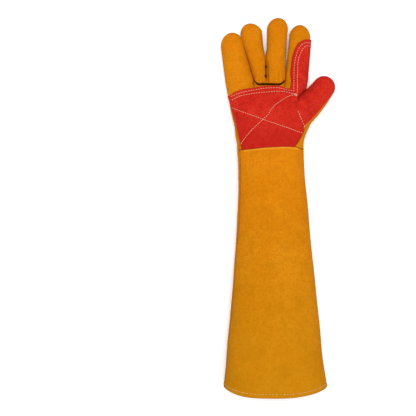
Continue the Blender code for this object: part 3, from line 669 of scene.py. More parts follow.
# Little, ring, middle and index finger: length, width, middle of the tip's base across the
# palm, how far up the finger that base is, and lean of the tip
DIGITS = (
    (0.0750, 0.0370, -0.479, 0.715, 0.20),
    (0.0905, 0.0354, -0.236, 0.775, -0.34),
    (0.1008, 0.0332, 0.072, 0.790, 0.27),
    (0.0878, 0.0336, 0.351, 0.770, -0.10),
)
STRIP_START = 3.25
BRIDGE_END = 2.9
FINGER_TOUCH = 0.0004
TOUCH_START = (0.204, 0.212)
TOUCH_END = (0.236, 0.258)
FOLD_IN = (-0.15, 0.25)
FOLD_OUT = (0.70, 1.15)
DIGIT_COLUMNS = 40
HAND_ROWS = 84
DIGIT_ROWS = 44
CAP_ROWS = 22


def crotch_line(u, front):
    """Across and along of the line where the fingers begin, u fingers from the side."""
    across = PALM_WIDTH * np.interp(u, range(5), CROTCHES["across"])
    y = ORIGIN_TO_WRIST + PALM_LENGTH * (1 + np.interp(u, range(5), CROTCHES["up"]))
    if front:
        dip = ease(u, 1.0, 1.0 + GUSSET_CORNER) * (1 - ease(u, 3.0 - GUSSET_CORNER, 3.0))
        y = y - GUSSET_DIP * dip
    return across, y


def border(k, v, front):
    """Place across of the line between two fingers, or of the thumb seam, v of the palm up."""
    left, _, _, _ = section(np.array(ORIGIN_TO_WRIST))
    seam = PALM_SEAM if front else BACK_SEAM
    foot = left + (PALM_WIDTH * seam["across"][0] - left) * k / 4
    head = PALM_WIDTH * CROTCHES["across"][k]
    if k < 4:
        return foot + (head - foot) * v
    below = PALM_WIDTH * read(seam, v)[0]
    above = PALM_WIDTH * seam["across"][-1]
    past = np.clip((v - THUMB_CROTCH) / (1 - THUMB_CROTCH), 0.0, 1.0)
    return np.where(v < THUMB_CROTCH, below, above + (head - above) * past)


def border_angles(y, v, inset, front):
    """Angles of the loop at y at the little finger side seam and at the four borders beyond it."""
    up = (y - ORIGIN_TO_WRIST) / PALM_LENGTH
    rise = SIDE_SEAM_RISE * (1 - ease(up, 0.0, SIDE_ROLL))
    if front:
        start = rise_angle(y, rise + SEAM_GAP / 2, inset)
    else:
        start = 2 * HALF_TURN + rise_angle(y, rise - SEAM_GAP / 2, inset)
    return [start] + [angle_at(y, border(k, v, front), inset, front) for k in range(1, 5)]


def row_height(u, v, front, dip=True):
    """Place along the glove of the hand u fingers across and v of the way from wrist to fingers."""
    angles = border_angles(np.array(ORIGIN_TO_WRIST), 0.0, 0.0, front)
    foot = wrist_line(np.interp(u, range(5), angles))
    _, head = crotch_line(u, front and dip)
    return foot + (head - foot) * v


def beside(u, values):
    """Share of the way between the two borders beside u, and the values at these borders."""
    place = np.clip(np.floor(u), 0, 3).astype(int)
    return u - place, np.choose(place, values[:4]), np.choose(place, values[1:])


def finger_form(u, v, inset, front, dip=True):
    """Half round of a finger: a half turn between its two borders, as high as the hand is there."""
    y = row_height(u, v, front, dip)
    _, _, depth, side = section(y)
    past = np.clip((v - THUMB_CROTCH) / (1 - THUMB_CROTCH), 0.0, 1.0)
    raised = CROTCH_EDGE * (1 - inset / LEATHER)
    q, left, right = beside(u, [border(k, v, front) for k in range(5)])
    _, tuck_left, tuck_right = beside(u, [inset, 0.0, 0.0, 0.0, inset * past])
    _, lift_left, lift_right = beside(u, [0.0, raised, raised, raised, raised * (1 - past)])
    left, right = left + tuck_left, right - tuck_right
    lift = SEAM_GAP / 2 + lift_left + (lift_right - lift_left) * q
    x = (left + right) / 2 - (right - left) / 2 * np.cos(q * HALF_TURN)
    if front:
        z = side + lift + (depth - side - inset - SEAM_GAP) * np.sin(q * HALF_TURN)
    else:
        z = side - lift - (side - lift - inset) * np.sin(q * HALF_TURN)
    return np.stack([x, y, z], axis=-1)


def hand_point(u, v, inset, front, bridge=0.0):
    """Hand u fingers across and the share v up: the loop of the glove, turning into fingers.

    A stiff second layer may bridge a share of the valleys that form between the fingers.
    """
    u, v = np.broadcast_arrays(np.asarray(u, float), np.asarray(v, float))
    y = row_height(u, v, front)
    q, near, far = beside(u, border_angles(y, v, inset, front))
    palm = loop(y, near + (far - near) * q, inset)
    full = ease(v, 1 - FINGER_BLEND / PALM_LENGTH, 1.0)
    middle = GUSSET_VALLEY * full if front else full
    thumb_side = ease(v, THUMB_CROTCH - FINGER_BLEND / PALM_LENGTH, THUMB_CROTCH)
    _, near, far = beside(u, [full, full, middle, full, thumb_side])
    share = (near + (far - near) * q) * (1 - bridge * (1 - ease(u, BRIDGE_END, STRIP_START)))
    return palm + (finger_form(u, v, inset, front) - palm) * share[..., None]


def finger_tip(index):
    """Round end of a finger: middle of its base, its way, half width, rise and edge height."""
    length, width, place, reach, lean = DIGITS[index]
    across, y = crotch_line(np.array([index, index + 1.0]), False)
    centre = np.array([PALM_WIDTH * place, ORIGIN_TO_WRIST + PALM_LENGTH + length * reach])
    way = centre - np.array([across.mean(), y.mean()])
    way = way / np.linalg.norm(way) + np.array([lean, 0.0])
    way = way / np.linalg.norm(way)
    return centre, way, width / 2, FINGER_DEPTH / 2, edge_height(CROTCH_DEPTH) + TIP_LIFT


def cap_ring(tip, inset, front, columns):
    """Half ring of a digit: half its width times the cosine across, its rise times the sine up."""
    centre, way, half, rise, edge_z = tip
    across = (half - inset) * -np.cos(columns * HALF_TURN)
    height = SEAM_GAP / 2 + (rise - inset - SEAM_GAP / 2) * np.sin(columns * HALF_TURN)
    z = edge_z + height if front else edge_z - height
    return np.stack([centre[0] + way[1] * across, centre[1] - way[0] * across, z], axis=-1)


def cap_rows(tip, share, inset, front, columns, count):
    """Rings of the round end, narrowing as a quarter of an ellipse down to its end point."""
    centre, way, half, _, edge_z = tip
    turn = (HALF_TURN / 2 * np.arange(1, count + 1) / count)[:, None, None]
    foot = np.array([*centre, edge_z + (SEAM_GAP / 2 if front else -SEAM_GAP / 2)])
    reach = np.array([*way, 0.0]) * (2 * half * share - inset)
    ring = cap_ring(tip, inset, front, columns)
    return foot + reach * np.sin(turn) + (ring - foot) * np.cos(turn)


def facing_edge(index, y):
    """Place across, at y, of the edge that one middle finger turns to the other."""
    fork_x, fork_y = crotch_line(2.0, False)
    centre, way, half, _, _ = finger_tip(index)
    half = half if index == 1 else -half
    edge_x, edge_y = centre[0] + half * way[1], centre[1] - half * way[0]
    return fork_x + (edge_x - fork_x) * (y - fork_y) / (edge_y - fork_y)


def finger_rows(index, base, inset, front, columns):
    """One finger: straight lines from its base row to the ring of its tip, then the round tip.

    The two middle fingers lean together until they touch over the first part of their length.
    """
    tip = finger_tip(index)
    share = (np.arange(1, DIGIT_ROWS + 1) / DIGIT_ROWS)[:, None, None]
    tube = base + (cap_ring(tip, inset, front, columns) - base) * share
    if index in (1, 2):
        y = tube[..., 1]
        touch = FINGER_TOUCH if index == 1 else -FINGER_TOUCH
        toward = columns if index == 1 else 1 - columns
        close = (facing_edge(3 - index, y) - facing_edge(index, y) - touch) / 2
        tube[..., 0] += close * (1 - ease(y, *TOUCH_END)) * ease(y, *TOUCH_START) * toward ** 2
    return np.concatenate([tube, cap_rows(tip, CAP_SHARE, inset, front, columns, CAP_ROWS)])


def hand_columns(first, last):
    """Columns from one border of the hand to another, crowded at every border."""
    return np.append([k + crowd(DIGIT_COLUMNS)[:-1] for k in range(first, last)], last)


def grow(grids, front, fingers, first=0):
    """Hide over a grid that begins at a border, with fingers grown from the grid's last row."""
    hide = Hide()
    numbers = hide.cover(*grids)
    columns = crowd(DIGIT_COLUMNS)
    for index in fingers:
        part = slice((index - first) * DIGIT_COLUMNS, (index - first + 1) * DIGIT_COLUMNS + 1)
        rows = [finger_rows(index, grid[-1, part], inset, front, columns)
                for grid, inset in zip(grids, (0.0, LEATHER))]
        hide.cover(*rows, below=numbers[-1, part], closed=True)
    return hide


def hand_hide(front, fingers):
    """The hand from wrist to crotch line as one grid, with the named fingers grown on it."""
    u, v = hand_columns(0, 4), crowd(HAND_ROWS)[:, None]
    return grow([hand_point(u, v, inset, front) for inset in (0.0, LEATHER)], front, fingers)


def creased(points, folds):
    """Depth of folds along lines in plan: bell-shaped grooves that run out at both ends.

    Each fold is its start, end, width and depth, in millimetres.
    """
    made = 0
    for start, end, width, depth in folds:
        run = np.subtract(end, start)
        away = points[:, :2] * 1000 - start
        share = away @ run / (run @ run)
        off = (away[:, 0] * run[1] - away[:, 1] * run[0]) / np.linalg.norm(run)
        bell = np.exp(-(off / width) ** 2) * ease(share, *FOLD_IN) * (1 - ease(share, *FOLD_OUT))
        made = made + depth / 1000 * bell
    return made


def loose(*ripples, folds=()):
    """Relief of a wall: ripples as slack takes them, and folds as creased takes them."""
    return lambda points: slack(points, *ripples) + creased(points, folds)


hide = hand_hide(False, range(4))
relief = loose((0.0005, 0.045, 11), (0.0004, 0.020, 12))
piece = hide.make("back_panel_suede", "suede_gold", suede_gold, 0.0012, relief)
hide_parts("back_panel")

# Palm panel
# Golden hide from the wrist to the crotches, running on into the fronts of the little and
# index fingers. Its edge across the middle is left open below the two middle fingers.

PALM_FOLDS = (
    ((-31, 196), (-52, 181), 3.0, 1.6),
    ((-36, 203), (-62, 199), 3.4, 1.4),
    ((-33, 200), (-58, 189), 2.2, 1.0),
    ((-43, 222), (-67, 226), 4.2, 0.9),
    ((24, 199), (31, 190), 2.2, 1.2),
)
# Where the seam across the palm stands open and is painted black as shadow, across and along
OPEN_LEFT = (-0.0305, -0.0270)
OPEN_RIGHT = (0.0225, 0.0260)
OPEN_LOW = (0.187, 0.189)
OPEN_HIGH = (0.2005, 0.2040)


def open_seam_shadow(points, distance, painted_light_and_shade, reach=0.0007):
    """Seam trace of an edge, painted black as shadow where the seam across the middle of the palm
    stands open.
    """
    x, y = points[:, 0], points[:, 1]
    inside = ease(x, *OPEN_LEFT) * (1 - ease(x, *OPEN_RIGHT))
    inside = inside * ease(y, *OPEN_LOW) * (1 - ease(y, *OPEN_HIGH))
    return painted_light_and_shade * (1 - inside) + inside * np.exp(-(distance / reach) ** 4)


hide = hand_hide(True, (0, 3))
relief = loose((0.0005, 0.040, 21), (0.0003, 0.016, 22), folds=PALM_FOLDS)
piece = hide.make("palm_panel_suede", "suede_gold", suede_gold, 0.0011, relief, open_seam_shadow)
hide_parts("palm_panel")

# Fronts of the two middle fingers
# One forked piece of golden hide. It is set in under the edge of the palm, so an open seam
# runs round its foot, painted almost black as shadow, and the hide is gathered above that seam.

GUSSET_GAP = 0.0006
GUSSET_STEP = 0.0016
GUSSET_OPEN = 0.0022
GUSSET_SINK = 0.0050
GUSSET_ROWS = 26
OPEN_REACH = 0.0021
GUSSET_FOLDS = (
    ((-23, 198), (-18, 214), 2.0, 1.6),
    ((-14, 196), (-13, 209), 1.8, 1.3),
    ((-6, 196), (-7.4, 236), 1.3, 1.5),
    ((2, 197), (3, 208), 1.8, 1.2),
    ((14, 197), (13, 213), 2.0, 1.9),
    ((20, 199), (17, 222), 1.8, 1.4),
    ((-24, 208), (-10, 204), 1.6, 1.0),
    ((-2, 206), (12, 204), 1.6, 1.1),
)
# Painted shadows of the slits where the fingers part: place across and along, half width, half
# length, and how dark they are
SLIT_SHADOWS = (
    (-0.0086, 0.2240, 0.0023, 0.0034, 1.0),
    (-0.0092, 0.2088, 0.0023, 0.0032, 1.0),
    (-0.0090, 0.2160, 0.0009, 0.0070, 0.5),
)


def gusset_grid(inset):
    """The fork's body, from the open seam under the palm's edge up to the crotch line."""
    u = hand_columns(1, 3)
    bow = np.sin(np.pi * (u - 1) / 2) ** 0.5
    foot = hand_point(u, 1.0, inset, True)
    foot[:, 1] += GUSSET_GAP + GUSSET_OPEN * bow
    foot[:, 2] -= (GUSSET_STEP + GUSSET_SINK) * bow
    head = finger_form(u, np.ones_like(u), inset, True, dip=False)
    head[:, 1] += GUSSET_GAP * 2
    for row in (foot, head):
        row[0, 0] += SEAM_GAP
        row[-1, 0] -= SEAM_GAP
    share = crowd(GUSSET_ROWS)[:, None]
    grid = foot + (head - foot) * share[..., None]
    grid[..., 2] += GUSSET_SINK * (1 - (1 - share) ** 4) * bow * (1 - share)
    return grid


def slit_shadows(points, distance, painted_light_and_shade):
    """Seam trace of the fronts: painted black shadow at their foot, and two dark painted slit
    shadows where the fingers part.
    """
    made = open_seam_shadow(points, distance, painted_light_and_shade, OPEN_REACH)
    for x, y, wide, long, dark in SLIT_SHADOWS:
        spread = ((points[:, 0] - x) / wide) ** 2 + ((points[:, 1] - y) / long) ** 2
        made = np.maximum(made, dark * np.exp(-spread ** 2))
    return made


hide = grow([gusset_grid(inset) for inset in (0.0, LEATHER)], True, (1, 2), 1)
relief = loose((0.0004, 0.030, 31), (0.0003, 0.013, 32), folds=GUSSET_FOLDS)
piece = hide.make("middle_ring_front_suede", "suede_gold", suede_gold, 0.0011, relief, slit_shadows)
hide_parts("middle_ring_front")

# Palm patch
# Red split hide laid over the palm as a second layer, with a strip that runs up the index
# finger and over its outer side. Its raw edge lies open and shows its thickness.

PATCH_LEATHER = 0.0015
PATCH_GAP = 0.0006
THUMB_BROW = 0.0035
PATCH_FOOT = -0.009
PATCH_MARGIN = 0.006
PATCH_HEAD = {
    "across": (-0.0672, -0.0604, -0.0502, -0.0360, -0.0204, -0.0105, 0.0002, 0.0120, 0.0190,
               0.0244, 0.0320),
    "along": (0.1772, 0.1803, 0.1840, 0.1878, 0.1908, 0.1919, 0.1924, 0.1920, 0.1903, 0.1884,
              0.1872),
}
PATCH_SIDE = {
    "along": (0.086, 0.0910, 0.1066, 0.1224, 0.1410, 0.1598, 0.1769, 0.21),
    "across": (-0.0478, -0.0487, -0.0518, -0.0552, -0.0598, -0.0650, -0.0700, -0.08),
}
STRIP_EDGE = {
    "along": (0.15, 0.32, 0.50, 0.66, 0.78, 0.86, 0.92, 0.94),
    "left": (0.280, 0.285, 0.300, 0.345, 0.400, 0.480, 0.600, 0.700),
}
STRIP_LINE = 0.0302
PATCH_BRIDGE = 0.45
PATCH_ROWS = 130
STRIP_ROWS = 90
STRIP_LEVELS = 16
STRIP_BEND = 0.94
HEAD_LEVEL = 0.93
BROW_START = 3.35
LEAST_MARGIN = 0.03
MARGIN_SPAN = 6
PATCH_FURROW = 0.0007
FURROW_WIDTH = 0.0012
PATCH_FOLDS = (
    ((35, 174), (40, 150), 3.4, 1.4),
    ((-62, 152), (-54, 132), 3.4, 1.2),
    ((-60, 150), (-47, 120), 5.0, 1.0),
)
SEAM_SOFTNESS = 0.3

# Rows of stitches on the patch: places across and along in turn, in millimetres
SEWING_MM = {
    "head_upper": (
        -65, 175.6,  -52.5, 179.9,  -37.1, 183.6,  -21.6, 186.4,  -12.2, 188.1,  -2.7, 188.7,
        11.6, 188.4,  21.2, 186.2,  32.6, 183.8,
    ),
    "head_lower": (
        -64, 169.5,  -56.8, 173.1,  -49, 176.2,  -35, 178.7,  -19.4, 180.9,  -3.8, 182.2,
        8.7, 182.8,  18, 182.8,  27.4, 180.9,  36.7, 178.7,
    ),
    "strip_left": (
        34.1, 182.4,  34.3, 189.3,  34.7, 202,  35.4, 217.7,  36.3, 229.7,  38.4, 239.8,
        41, 247.4,  45.6, 255.6,  51.9, 260.3,  57.3, 261.2,  61.5, 261.2,
    ),
    "strip_right": (
        39.3, 180,  39.8, 189.3,  40.2, 205.1,  40.7, 217.7,  41.2, 228.5,  43.1, 238.3,
        46.4, 246.1,  49.7, 252,  54.6, 255.8,  61.5, 256.4,
    ),
    "cross_fall": (
        -63, 158.2,  -55.4, 154.6,  -41.4, 148.7,  -27.4, 143.1,  -14.8, 138.1,  3.7, 131.5,
        23.9, 124.6,  39.4, 119.3,  47.5, 117,
    ),
    "cross_climb": (
        37, 177.3,  31.7, 177,  27, 175.7,  20, 172,  11.5, 166.4,  4.1, 160.8,  -1.8, 153.9,
        -6.6, 146.2,  -14.8, 138.1,  -25.9, 127.8,  -35.2, 118.2,  -43, 108.8,  -49.3, 99.5,
    ),
}
PATCH_SEWING = {name: np.reshape(row, (-1, 2)) / 1000 for name, row in SEWING_MM.items()}

suede_red = suede(
    "suede_red",
    body=(0.428, 0.0125, 0.0055, 1.0),
    pale=(0.505, 0.0270, 0.0140, 1.0),
    deep=(0.310, 0.0080, 0.0050, 1.0),
    warm=(0.400, 0.0110, 0.0060, 1.0),
    shade=(0.120, 0.0040, 0.0030, 1.0),
    light=(0.560, 0.0500, 0.0300, 1.0),
    far=(0.295, 0.0050, 0.0030, 1.0),
    fade=0.55,
    span=(0.095, 0.160),
    warmth=0.0,
)


def brow(v):
    """Fullness of the hide beside the seam of the thumb, running out at both ends of the seam."""
    share = np.clip((v - THUMB_HEEL) / (THUMB_CROTCH - THUMB_HEEL), 0.0, 1.0)
    return THUMB_BROW * np.sin(np.pi * share) ** 1.5


u = hand_columns(0, 4) * (4 - PATCH_MARGIN) / 4
near_strip = np.abs(u - STRIP_START).argmin()
u[near_strip] = STRIP_START
q = u[near_strip:] - 3
foot, crotch = row_height(u, 0.0, True), row_height(u, 1.0, True)
head = (read(PATCH_HEAD, hand_point(u, HEAD_LEVEL, 0.0, True)[:, 0])[0] - foot) / (crotch - foot)
head = np.where(u >= STRIP_START, THUMB_CROTCH, head)
v = PATCH_FOOT + (head - PATCH_FOOT) * crowd(PATCH_ROWS)[:, None]

# The left edge lies where the hand passes the side line
trial = np.linspace(0.0, 0.6, 61)
lanes = hand_point(trial, v[:, :1], -PATCH_GAP - PATCH_LEATHER, True)
beyond = lanes[..., 0] > read(PATCH_SIDE, lanes[:, :1, 1])[0]
margin = np.maximum(trial[np.argmax(beyond, axis=1)], LEAST_MARGIN)
kernel = np.ones(2 * MARGIN_SPAN + 1) / (2 * MARGIN_SPAN + 1)
margin = np.convolve(np.pad(margin, MARGIN_SPAN, mode="edge"), kernel, mode="valid")[:, None]


def strip_columns(left):
    """Shares of the index finger's width from the strip's left edge over to its outer side."""
    return left[:, None] + (q[-1] - left[:, None]) * (q - q[0]) / (q[-1] - q[0])


def patch_grids(inset):
    """The patch over the palm, and the strip that runs on up the index finger."""
    patch = hand_point(np.where(u < 1, margin + (1 - margin) * u, u), v, inset, True, PATCH_BRIDGE)
    patch[..., 2] += brow(v) * ease(u, BROW_START, 4.0)
    levels = np.linspace(THUMB_CROTCH, 1.0, STRIP_LEVELS)[1:]
    first = hand_point(STRIP_START, THUMB_CROTCH, inset, True)[0]
    straight = first + (STRIP_LINE - first) * ease(levels, THUMB_CROTCH, STRIP_BEND)
    lanes = hand_point(3 + trial, levels[:, None], inset, True)[..., 0]
    left = np.array([np.interp(x, lane, trial) for x, lane in zip(straight, lanes)])
    low = hand_point(3 + strip_columns(left), levels[:, None], inset, True)
    along, edge = STRIP_EDGE.values()
    share = np.linspace(0.0, along[-1], STRIP_ROWS + 1)[1:]
    here = strip_columns(smooth(share, [0.0, *along], [left[-1], *edge]))
    base = hand_point(3 + here, 1.0, inset, True)
    ring = cap_ring(finger_tip(3), inset, True, here)
    return patch, np.concatenate([low, base + (ring - base) * share[:, None, None]])


patches, strips = zip(*(patch_grids(inset) for inset in (-PATCH_GAP - PATCH_LEATHER, -PATCH_GAP)))
patch_hide = Hide()
numbers = patch_hide.cover(*patches)
patch_hide.cover(*strips, below=numbers[-1, near_strip:])


def pairs_of(line):
    """Segments (start, end) between the points of an open line."""
    return np.stack([line[:-1], line[1:]], axis=1)


def patch_relief(points):
    """Depth below the even patch: slack, folds, and a furrow under every row of stitches."""
    rows = np.concatenate([pairs_of(row) for row in PATCH_SEWING.values()])
    furrow = np.exp(-(line_distance(points[:, :2], rows) / FURROW_WIDTH) ** 2)
    even = loose((0.0004, 0.034, 41), (0.0003, 0.013, 42), folds=PATCH_FOLDS)
    return even(points) + PATCH_FURROW * furrow


def soft_seam_shade(points, distance, painted_light_and_shade):
    """Seam trace of the red hide: its painted seam shade is only a little darker than the hide."""
    return SEAM_SOFTNESS * painted_light_and_shade


piece = patch_hide.make("palm_patch_suede", "suede_red", suede_red, 0.0005, patch_relief, soft_seam_shade)
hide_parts("palm_patch")

# Patch thread
# Double rows round the head of the patch and up the index strip, two long single rows that
# cross over the palm, and a knot of back stitches where the rows meet.

CREAM_STITCH = {"length": 0.0028, "radius": 0.00038}
ROW_PITCH = 0.0040
CROSS_PITCH = 0.0036
KNOT = ((37.2, 179.0), (38.4, 177.8), (36.6, 177.2), (38.0, 176.2))
KNOT_WAYS = ((0.9, 0.4), (1.0, -0.2), (0.3, -1.0), (-0.7, 0.7))

thread_cream = thread("thread_cream", (0.76, 0.47, 0.31, 1.0), (0.38, 0.20, 0.12, 1.0))


def settle(spots, hides):
    """Height and outward normal of the hides at places in plan, from the six nearest points."""
    points = np.concatenate([hide.outer for hide in hides])
    normals = np.concatenate([hide.normal for hide in hides])
    upward = normals[:, 2] > 0.05
    points, normals = points[upward], normals[upward]
    away = np.linalg.norm(spots[:, None] - points[:, :2], axis=2)
    nearest = np.argpartition(away, 6, axis=1)[:, :6]
    weight = 1 / (np.take_along_axis(away, nearest, axis=1) + 1e-5) ** 2
    weight = (weight / weight.sum(axis=1, keepdims=True))[..., None]
    normal = (normals[nearest] * weight).sum(axis=1)
    heights = (points[nearest, 2:] * weight).sum(axis=1)
    return heights, normal / np.linalg.norm(normal, axis=1, keepdims=True)


def sew_down(name, spots, ways, hides):
    """Cream stitches at places in plan, laid on the hides under them."""
    heights, normals = settle(spots, hides)
    spots = np.column_stack([spots, heights])
    ways = np.column_stack([ways, 0 * heights])
    sew(name, spots, ways, normals, CREAM_STITCH["length"], thread_cream,
        CREAM_STITCH["radius"])


rows = [along_line(row, CROSS_PITCH if name.startswith("cross") else ROW_PITCH)
        for name, row in PATCH_SEWING.items()]
spots, ways = zip(*rows, (np.array(KNOT) / 1000, KNOT_WAYS))
sew_down("patch_thread", np.concatenate(spots), np.concatenate(ways), [patch_hide])

# Thumb front
# Red hide from the seam at the edge of the patch to the tip of the thumb, fuller in the
# middle than at its seams.

THUMB_LENGTH = 0.0560
THUMB_WIDTH = 0.0356
THUMB_DEPTH = 0.0220
THUMB_LIFT = 0.0060
THUMB_CAP_SHARE = 0.50
THUMB_BASE = (0.490, 0.060)
THUMB_SLOPE = 51.0
THUMB_SWELL = 0.002
THUMB_PUSH = 0.004
HEEL_GAP = 0.0007
SEAM_LIFT = 0.0021
HEEL_FULL = 0.0028
ROLL_OVER = (0.0036, 0.0040)
THUMB_COLUMNS = 70
THUMB_ROWS = 60
THUMB_CAP_ROWS = 28
# Where the golden edge runs out, up the thumb
ROLL_END = (0.058, 0.074)
ROLL_WIDENS = 0.050
THUMB_FOLDS = (((47, 178), (59, 170), 3.0, 1.4), ((44, 158), (60, 156), 4.0, 0.8))

slope = np.radians(THUMB_SLOPE)
thumb_way = np.array([np.cos(slope), np.sin(slope)])
thumb_outward = np.array([np.sin(slope), -np.cos(slope)])
centre = hand_point(4.0, THUMB_CROTCH, 0.0, True)[:2] + THUMB_LENGTH * np.array(THUMB_BASE)
edge_z = edge_height(CROTCH_DEPTH) + THUMB_LIFT
thumb_tip = (centre, thumb_way, THUMB_WIDTH / 2, THUMB_DEPTH / 2, edge_z)
thumb_relief = loose((0.0005, 0.030, 51), (0.0003, 0.013, 52), folds=THUMB_FOLDS)


def thumb_front(inset, columns):
    """Rows from the seam at the palm to the first ring of the thumb's round end, and its rings."""
    v = THUMB_CROTCH + (THUMB_HEEL - THUMB_CROTCH) * columns
    v[-1] += HEEL_GAP / PALM_LENGTH
    seam = hand_point(4.0, v, inset, True)
    seam[:, 0] -= SEAM_GAP / 2
    share = crowd(THUMB_ROWS)[:, None]
    middle = np.abs(np.sin(np.pi * columns))
    body = seam + (cap_ring(thumb_tip, inset, True, columns) - seam) * share[..., None]
    body[..., 2] += THUMB_SWELL * np.sin(np.pi * share) * middle
    body[..., 2] += SEAM_LIFT * (1 - share) ** 3 * middle ** 0.2 + brow(v) * (1 - share) ** 2
    fuller = THUMB_PUSH * middle * (1 - columns) + HEEL_FULL * columns ** 3
    body[..., :2] += (4 * share * (1 - share) * fuller)[..., None] * thumb_outward
    tip = cap_rows(thumb_tip, THUMB_CAP_SHARE, inset, True, columns, THUMB_CAP_ROWS)
    return np.concatenate([body, tip])


columns = crowd(THUMB_COLUMNS)
stacks = [thumb_front(inset, columns) for inset in (0.0, LEATHER)]
thumb_hide = Hide()
thumb_hide.cover(*stacks, closed=True)
piece = thumb_hide.make("thumb_front_suede", "suede_red", suede_red, 0.0004, thumb_relief,
                        soft_seam_shade)
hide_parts("thumb_front")

# The golden hide of the thumb's back is rolled over the outer edge of the front
piece.data.materials.append(suede_gold)
outline = np.concatenate([stacks[0][:, -1], stacks[0][-1:, 0]])
centres = np.zeros(len(piece.data.polygons) * 3)
piece.data.polygons.foreach_get("center", centres)
centres = centres.reshape(-1, 3)
up_thumb = (centres[:, :2] - outline[0, :2]) @ thumb_way
over = ROLL_OVER[0] + (ROLL_OVER[1] - ROLL_OVER[0]) * ease(up_thumb, 0.0, ROLL_WIDENS)
golden = line_distance(centres, pairs_of(outline)) < over * (1 - ease(up_thumb, *ROLL_END))
piece.data.polygons.foreach_set("material_index", golden.astype(np.int32))

# Thumb thread
# A short single row on the palm beside the seam of the thumb.

THUMB_SEWING = ((39.6, 151.5), (43.2, 143.0), (47.2, 134.0), (51.0, 126.5))
spots, ways = along_line(np.array(THUMB_SEWING) / 1000, ROW_PITCH)
sew_down("thumb_thread", spots, ways, [thumb_hide, patch_hide])

# Thumb back
# Golden hide round the underside of the thumb, with a tail along the side of the hand down
# to the wrist. It rolls up over the thumb's outer edge, where it shows as a thin line.

FAN_SHARE = 0.75
FAN_TURN = 0.45
HEEL_WRAP = 25.0
TAIL_ROWS = 26
FAN_ROWS = 80


def thumb_back(inset, columns):
    """Rows of the tail round the wrist, of the fan that turns into the thumb, and of its tip."""
    heel_back, heel_front = (row_height(4.0, THUMB_HEEL, front) for front in (False, True))
    share = crowd(TAIL_ROWS)[:, None]
    v = THUMB_HEEL * share
    near, far = (
        angle_at(row_height(4.0, v, front), border(4, v, front) + SEAM_GAP, inset, front)
        for front in (False, True)
    )
    angle = near + (far - near) * columns
    wrist = wrist_line(angle)
    heel = heel_back + (heel_front - heel_back) * columns
    tail = loop(wrist + (heel - wrist) * share, angle, inset)
    last = tail[-1]
    ring = cap_ring(thumb_tip, inset, False, columns)
    share = crowd(FAN_ROWS)[1:, None]
    up = np.clip(share / FAN_SHARE, 0.0, 1.0)
    past = np.clip((share - FAN_SHARE) / (1 - FAN_SHARE), 0.0, 1.0)[..., None]
    near = hand_point(4.0, THUMB_HEEL + (THUMB_CROTCH - THUMB_HEEL) * up, inset, False)
    near[..., 0] += SEAM_GAP
    near = near + (ring[0] - near) * past
    far = last[-1] + (ring[-1] - last[-1]) * share[..., None]
    far[..., :2] += (4 * HEEL_FULL * share * (1 - share))[..., None] * thumb_outward
    start = HALF_TURN / 2 * (1 - up)
    end = HALF_TURN + np.radians(HEEL_WRAP) * (1 - share)
    turn = start + (end - start) * columns
    reach = (far - near) / (np.cos(start) - np.cos(end))[..., None]
    fan = near + reach * (np.cos(start) - np.cos(turn))[..., None]
    side = edge_height(CROTCH_DEPTH)
    fall = side + (THUMB_DEPTH / 2 - SEAM_GAP / 2 - side) * share - inset
    dip = -fall * np.sin(turn)
    miss_near, miss_far = near[..., 2] - dip[:, :1], far[..., 2] - dip[:, -1:]
    fan[..., 2] = dip + miss_near + (miss_far - miss_near) * columns
    step_near, step_far = near - last[0], far - last[-1]
    carried = last + step_near + (step_far - step_near) * columns[:, None]
    fan = carried + (fan - carried) * ease(share, 0.0, FAN_TURN)[..., None]
    tip = cap_rows(thumb_tip, THUMB_CAP_SHARE, inset, False, columns, THUMB_CAP_ROWS)
    return np.concatenate([tail, fan, tip])


hide = Hide()
hide.cover(thumb_back(0.0, columns), thumb_back(LEATHER, columns), closed=True)
piece = hide.make("thumb_back_suede", "suede_gold", suede_gold, 0.0011, thumb_relief)
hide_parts("thumb_back")

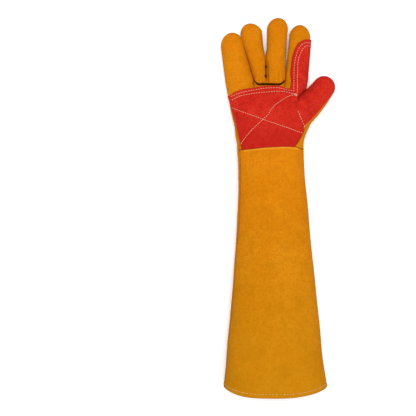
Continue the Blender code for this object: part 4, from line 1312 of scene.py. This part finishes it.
# Floor, light and camera
# A pale floor under the glove, one broad soft light above it, and a camera that looks
# straight down from 1.4 m.

FLOOR_HALF = 6.0
FLOOR_HEIGHT = -0.0005
CAMERA_HEIGHT = 1.400
CAMERA_X = -0.1005
VIEW_WIDTH = 0.6535
FOCUS_HEIGHT = 0.030
SENSOR_WIDTH = 36.0
WORLD_STRENGTH = 0.62
# Lamps as name, place, size and power
LAMPS = (("overhead", (-0.15, 0.25, 2.2), 1.6, 46.0), ("fill", (0.9, -0.7, 1.8), 1.2, 9.0))

mesh = bpy.data.meshes.new("floor")
corners = FLOOR_HALF * np.array([(-1, -1, 0), (1, -1, 0), (1, 1, 0), (-1, 1, 0)])
mesh.from_pydata(corners + (0, 0, FLOOR_HEIGHT), [], [(0, 1, 2, 3)])
floor = add_object("floor", mesh)
paint, shader, _ = new_material("floor_white")
shader.inputs["Base Color"].default_value = (0.93, 0.93, 0.93, 1.0)
shader.inputs["Roughness"].default_value = 0.9
mesh.materials.append(paint)

world = bpy.data.worlds.new("studio")
world.use_nodes = True
sky = world.node_tree.nodes["Background"]
sky.inputs["Color"].default_value = (1.0, 1.0, 1.0, 1.0)
sky.inputs["Strength"].default_value = WORLD_STRENGTH
bpy.context.scene.world = world

for name, place, size, power in LAMPS:
    lamp = bpy.data.lights.new(name, "AREA")
    lamp.shape = "DISK"
    lamp.size = size
    lamp.energy = power
    light = add_object(name, lamp)
    aim = np.array(place) / np.linalg.norm(place)
    light.location = place
    turn = np.arctan2(aim[1], aim[0]) + np.pi / 2
    light.rotation_euler = (np.arccos(aim[2]), 0.0, turn)

lens = bpy.data.cameras.new("camera")
lens.sensor_width = SENSOR_WIDTH
lens.lens = SENSOR_WIDTH * (CAMERA_HEIGHT - FOCUS_HEIGHT) / VIEW_WIDTH
lens.clip_end = 50.0
camera = add_object("camera", lens)
camera.location = (CAMERA_X, 0.0, CAMERA_HEIGHT)
bpy.context.scene.camera = camera
bpy.context.scene.view_settings.view_transform = "Standard"

bpy.context.view_layer.update()
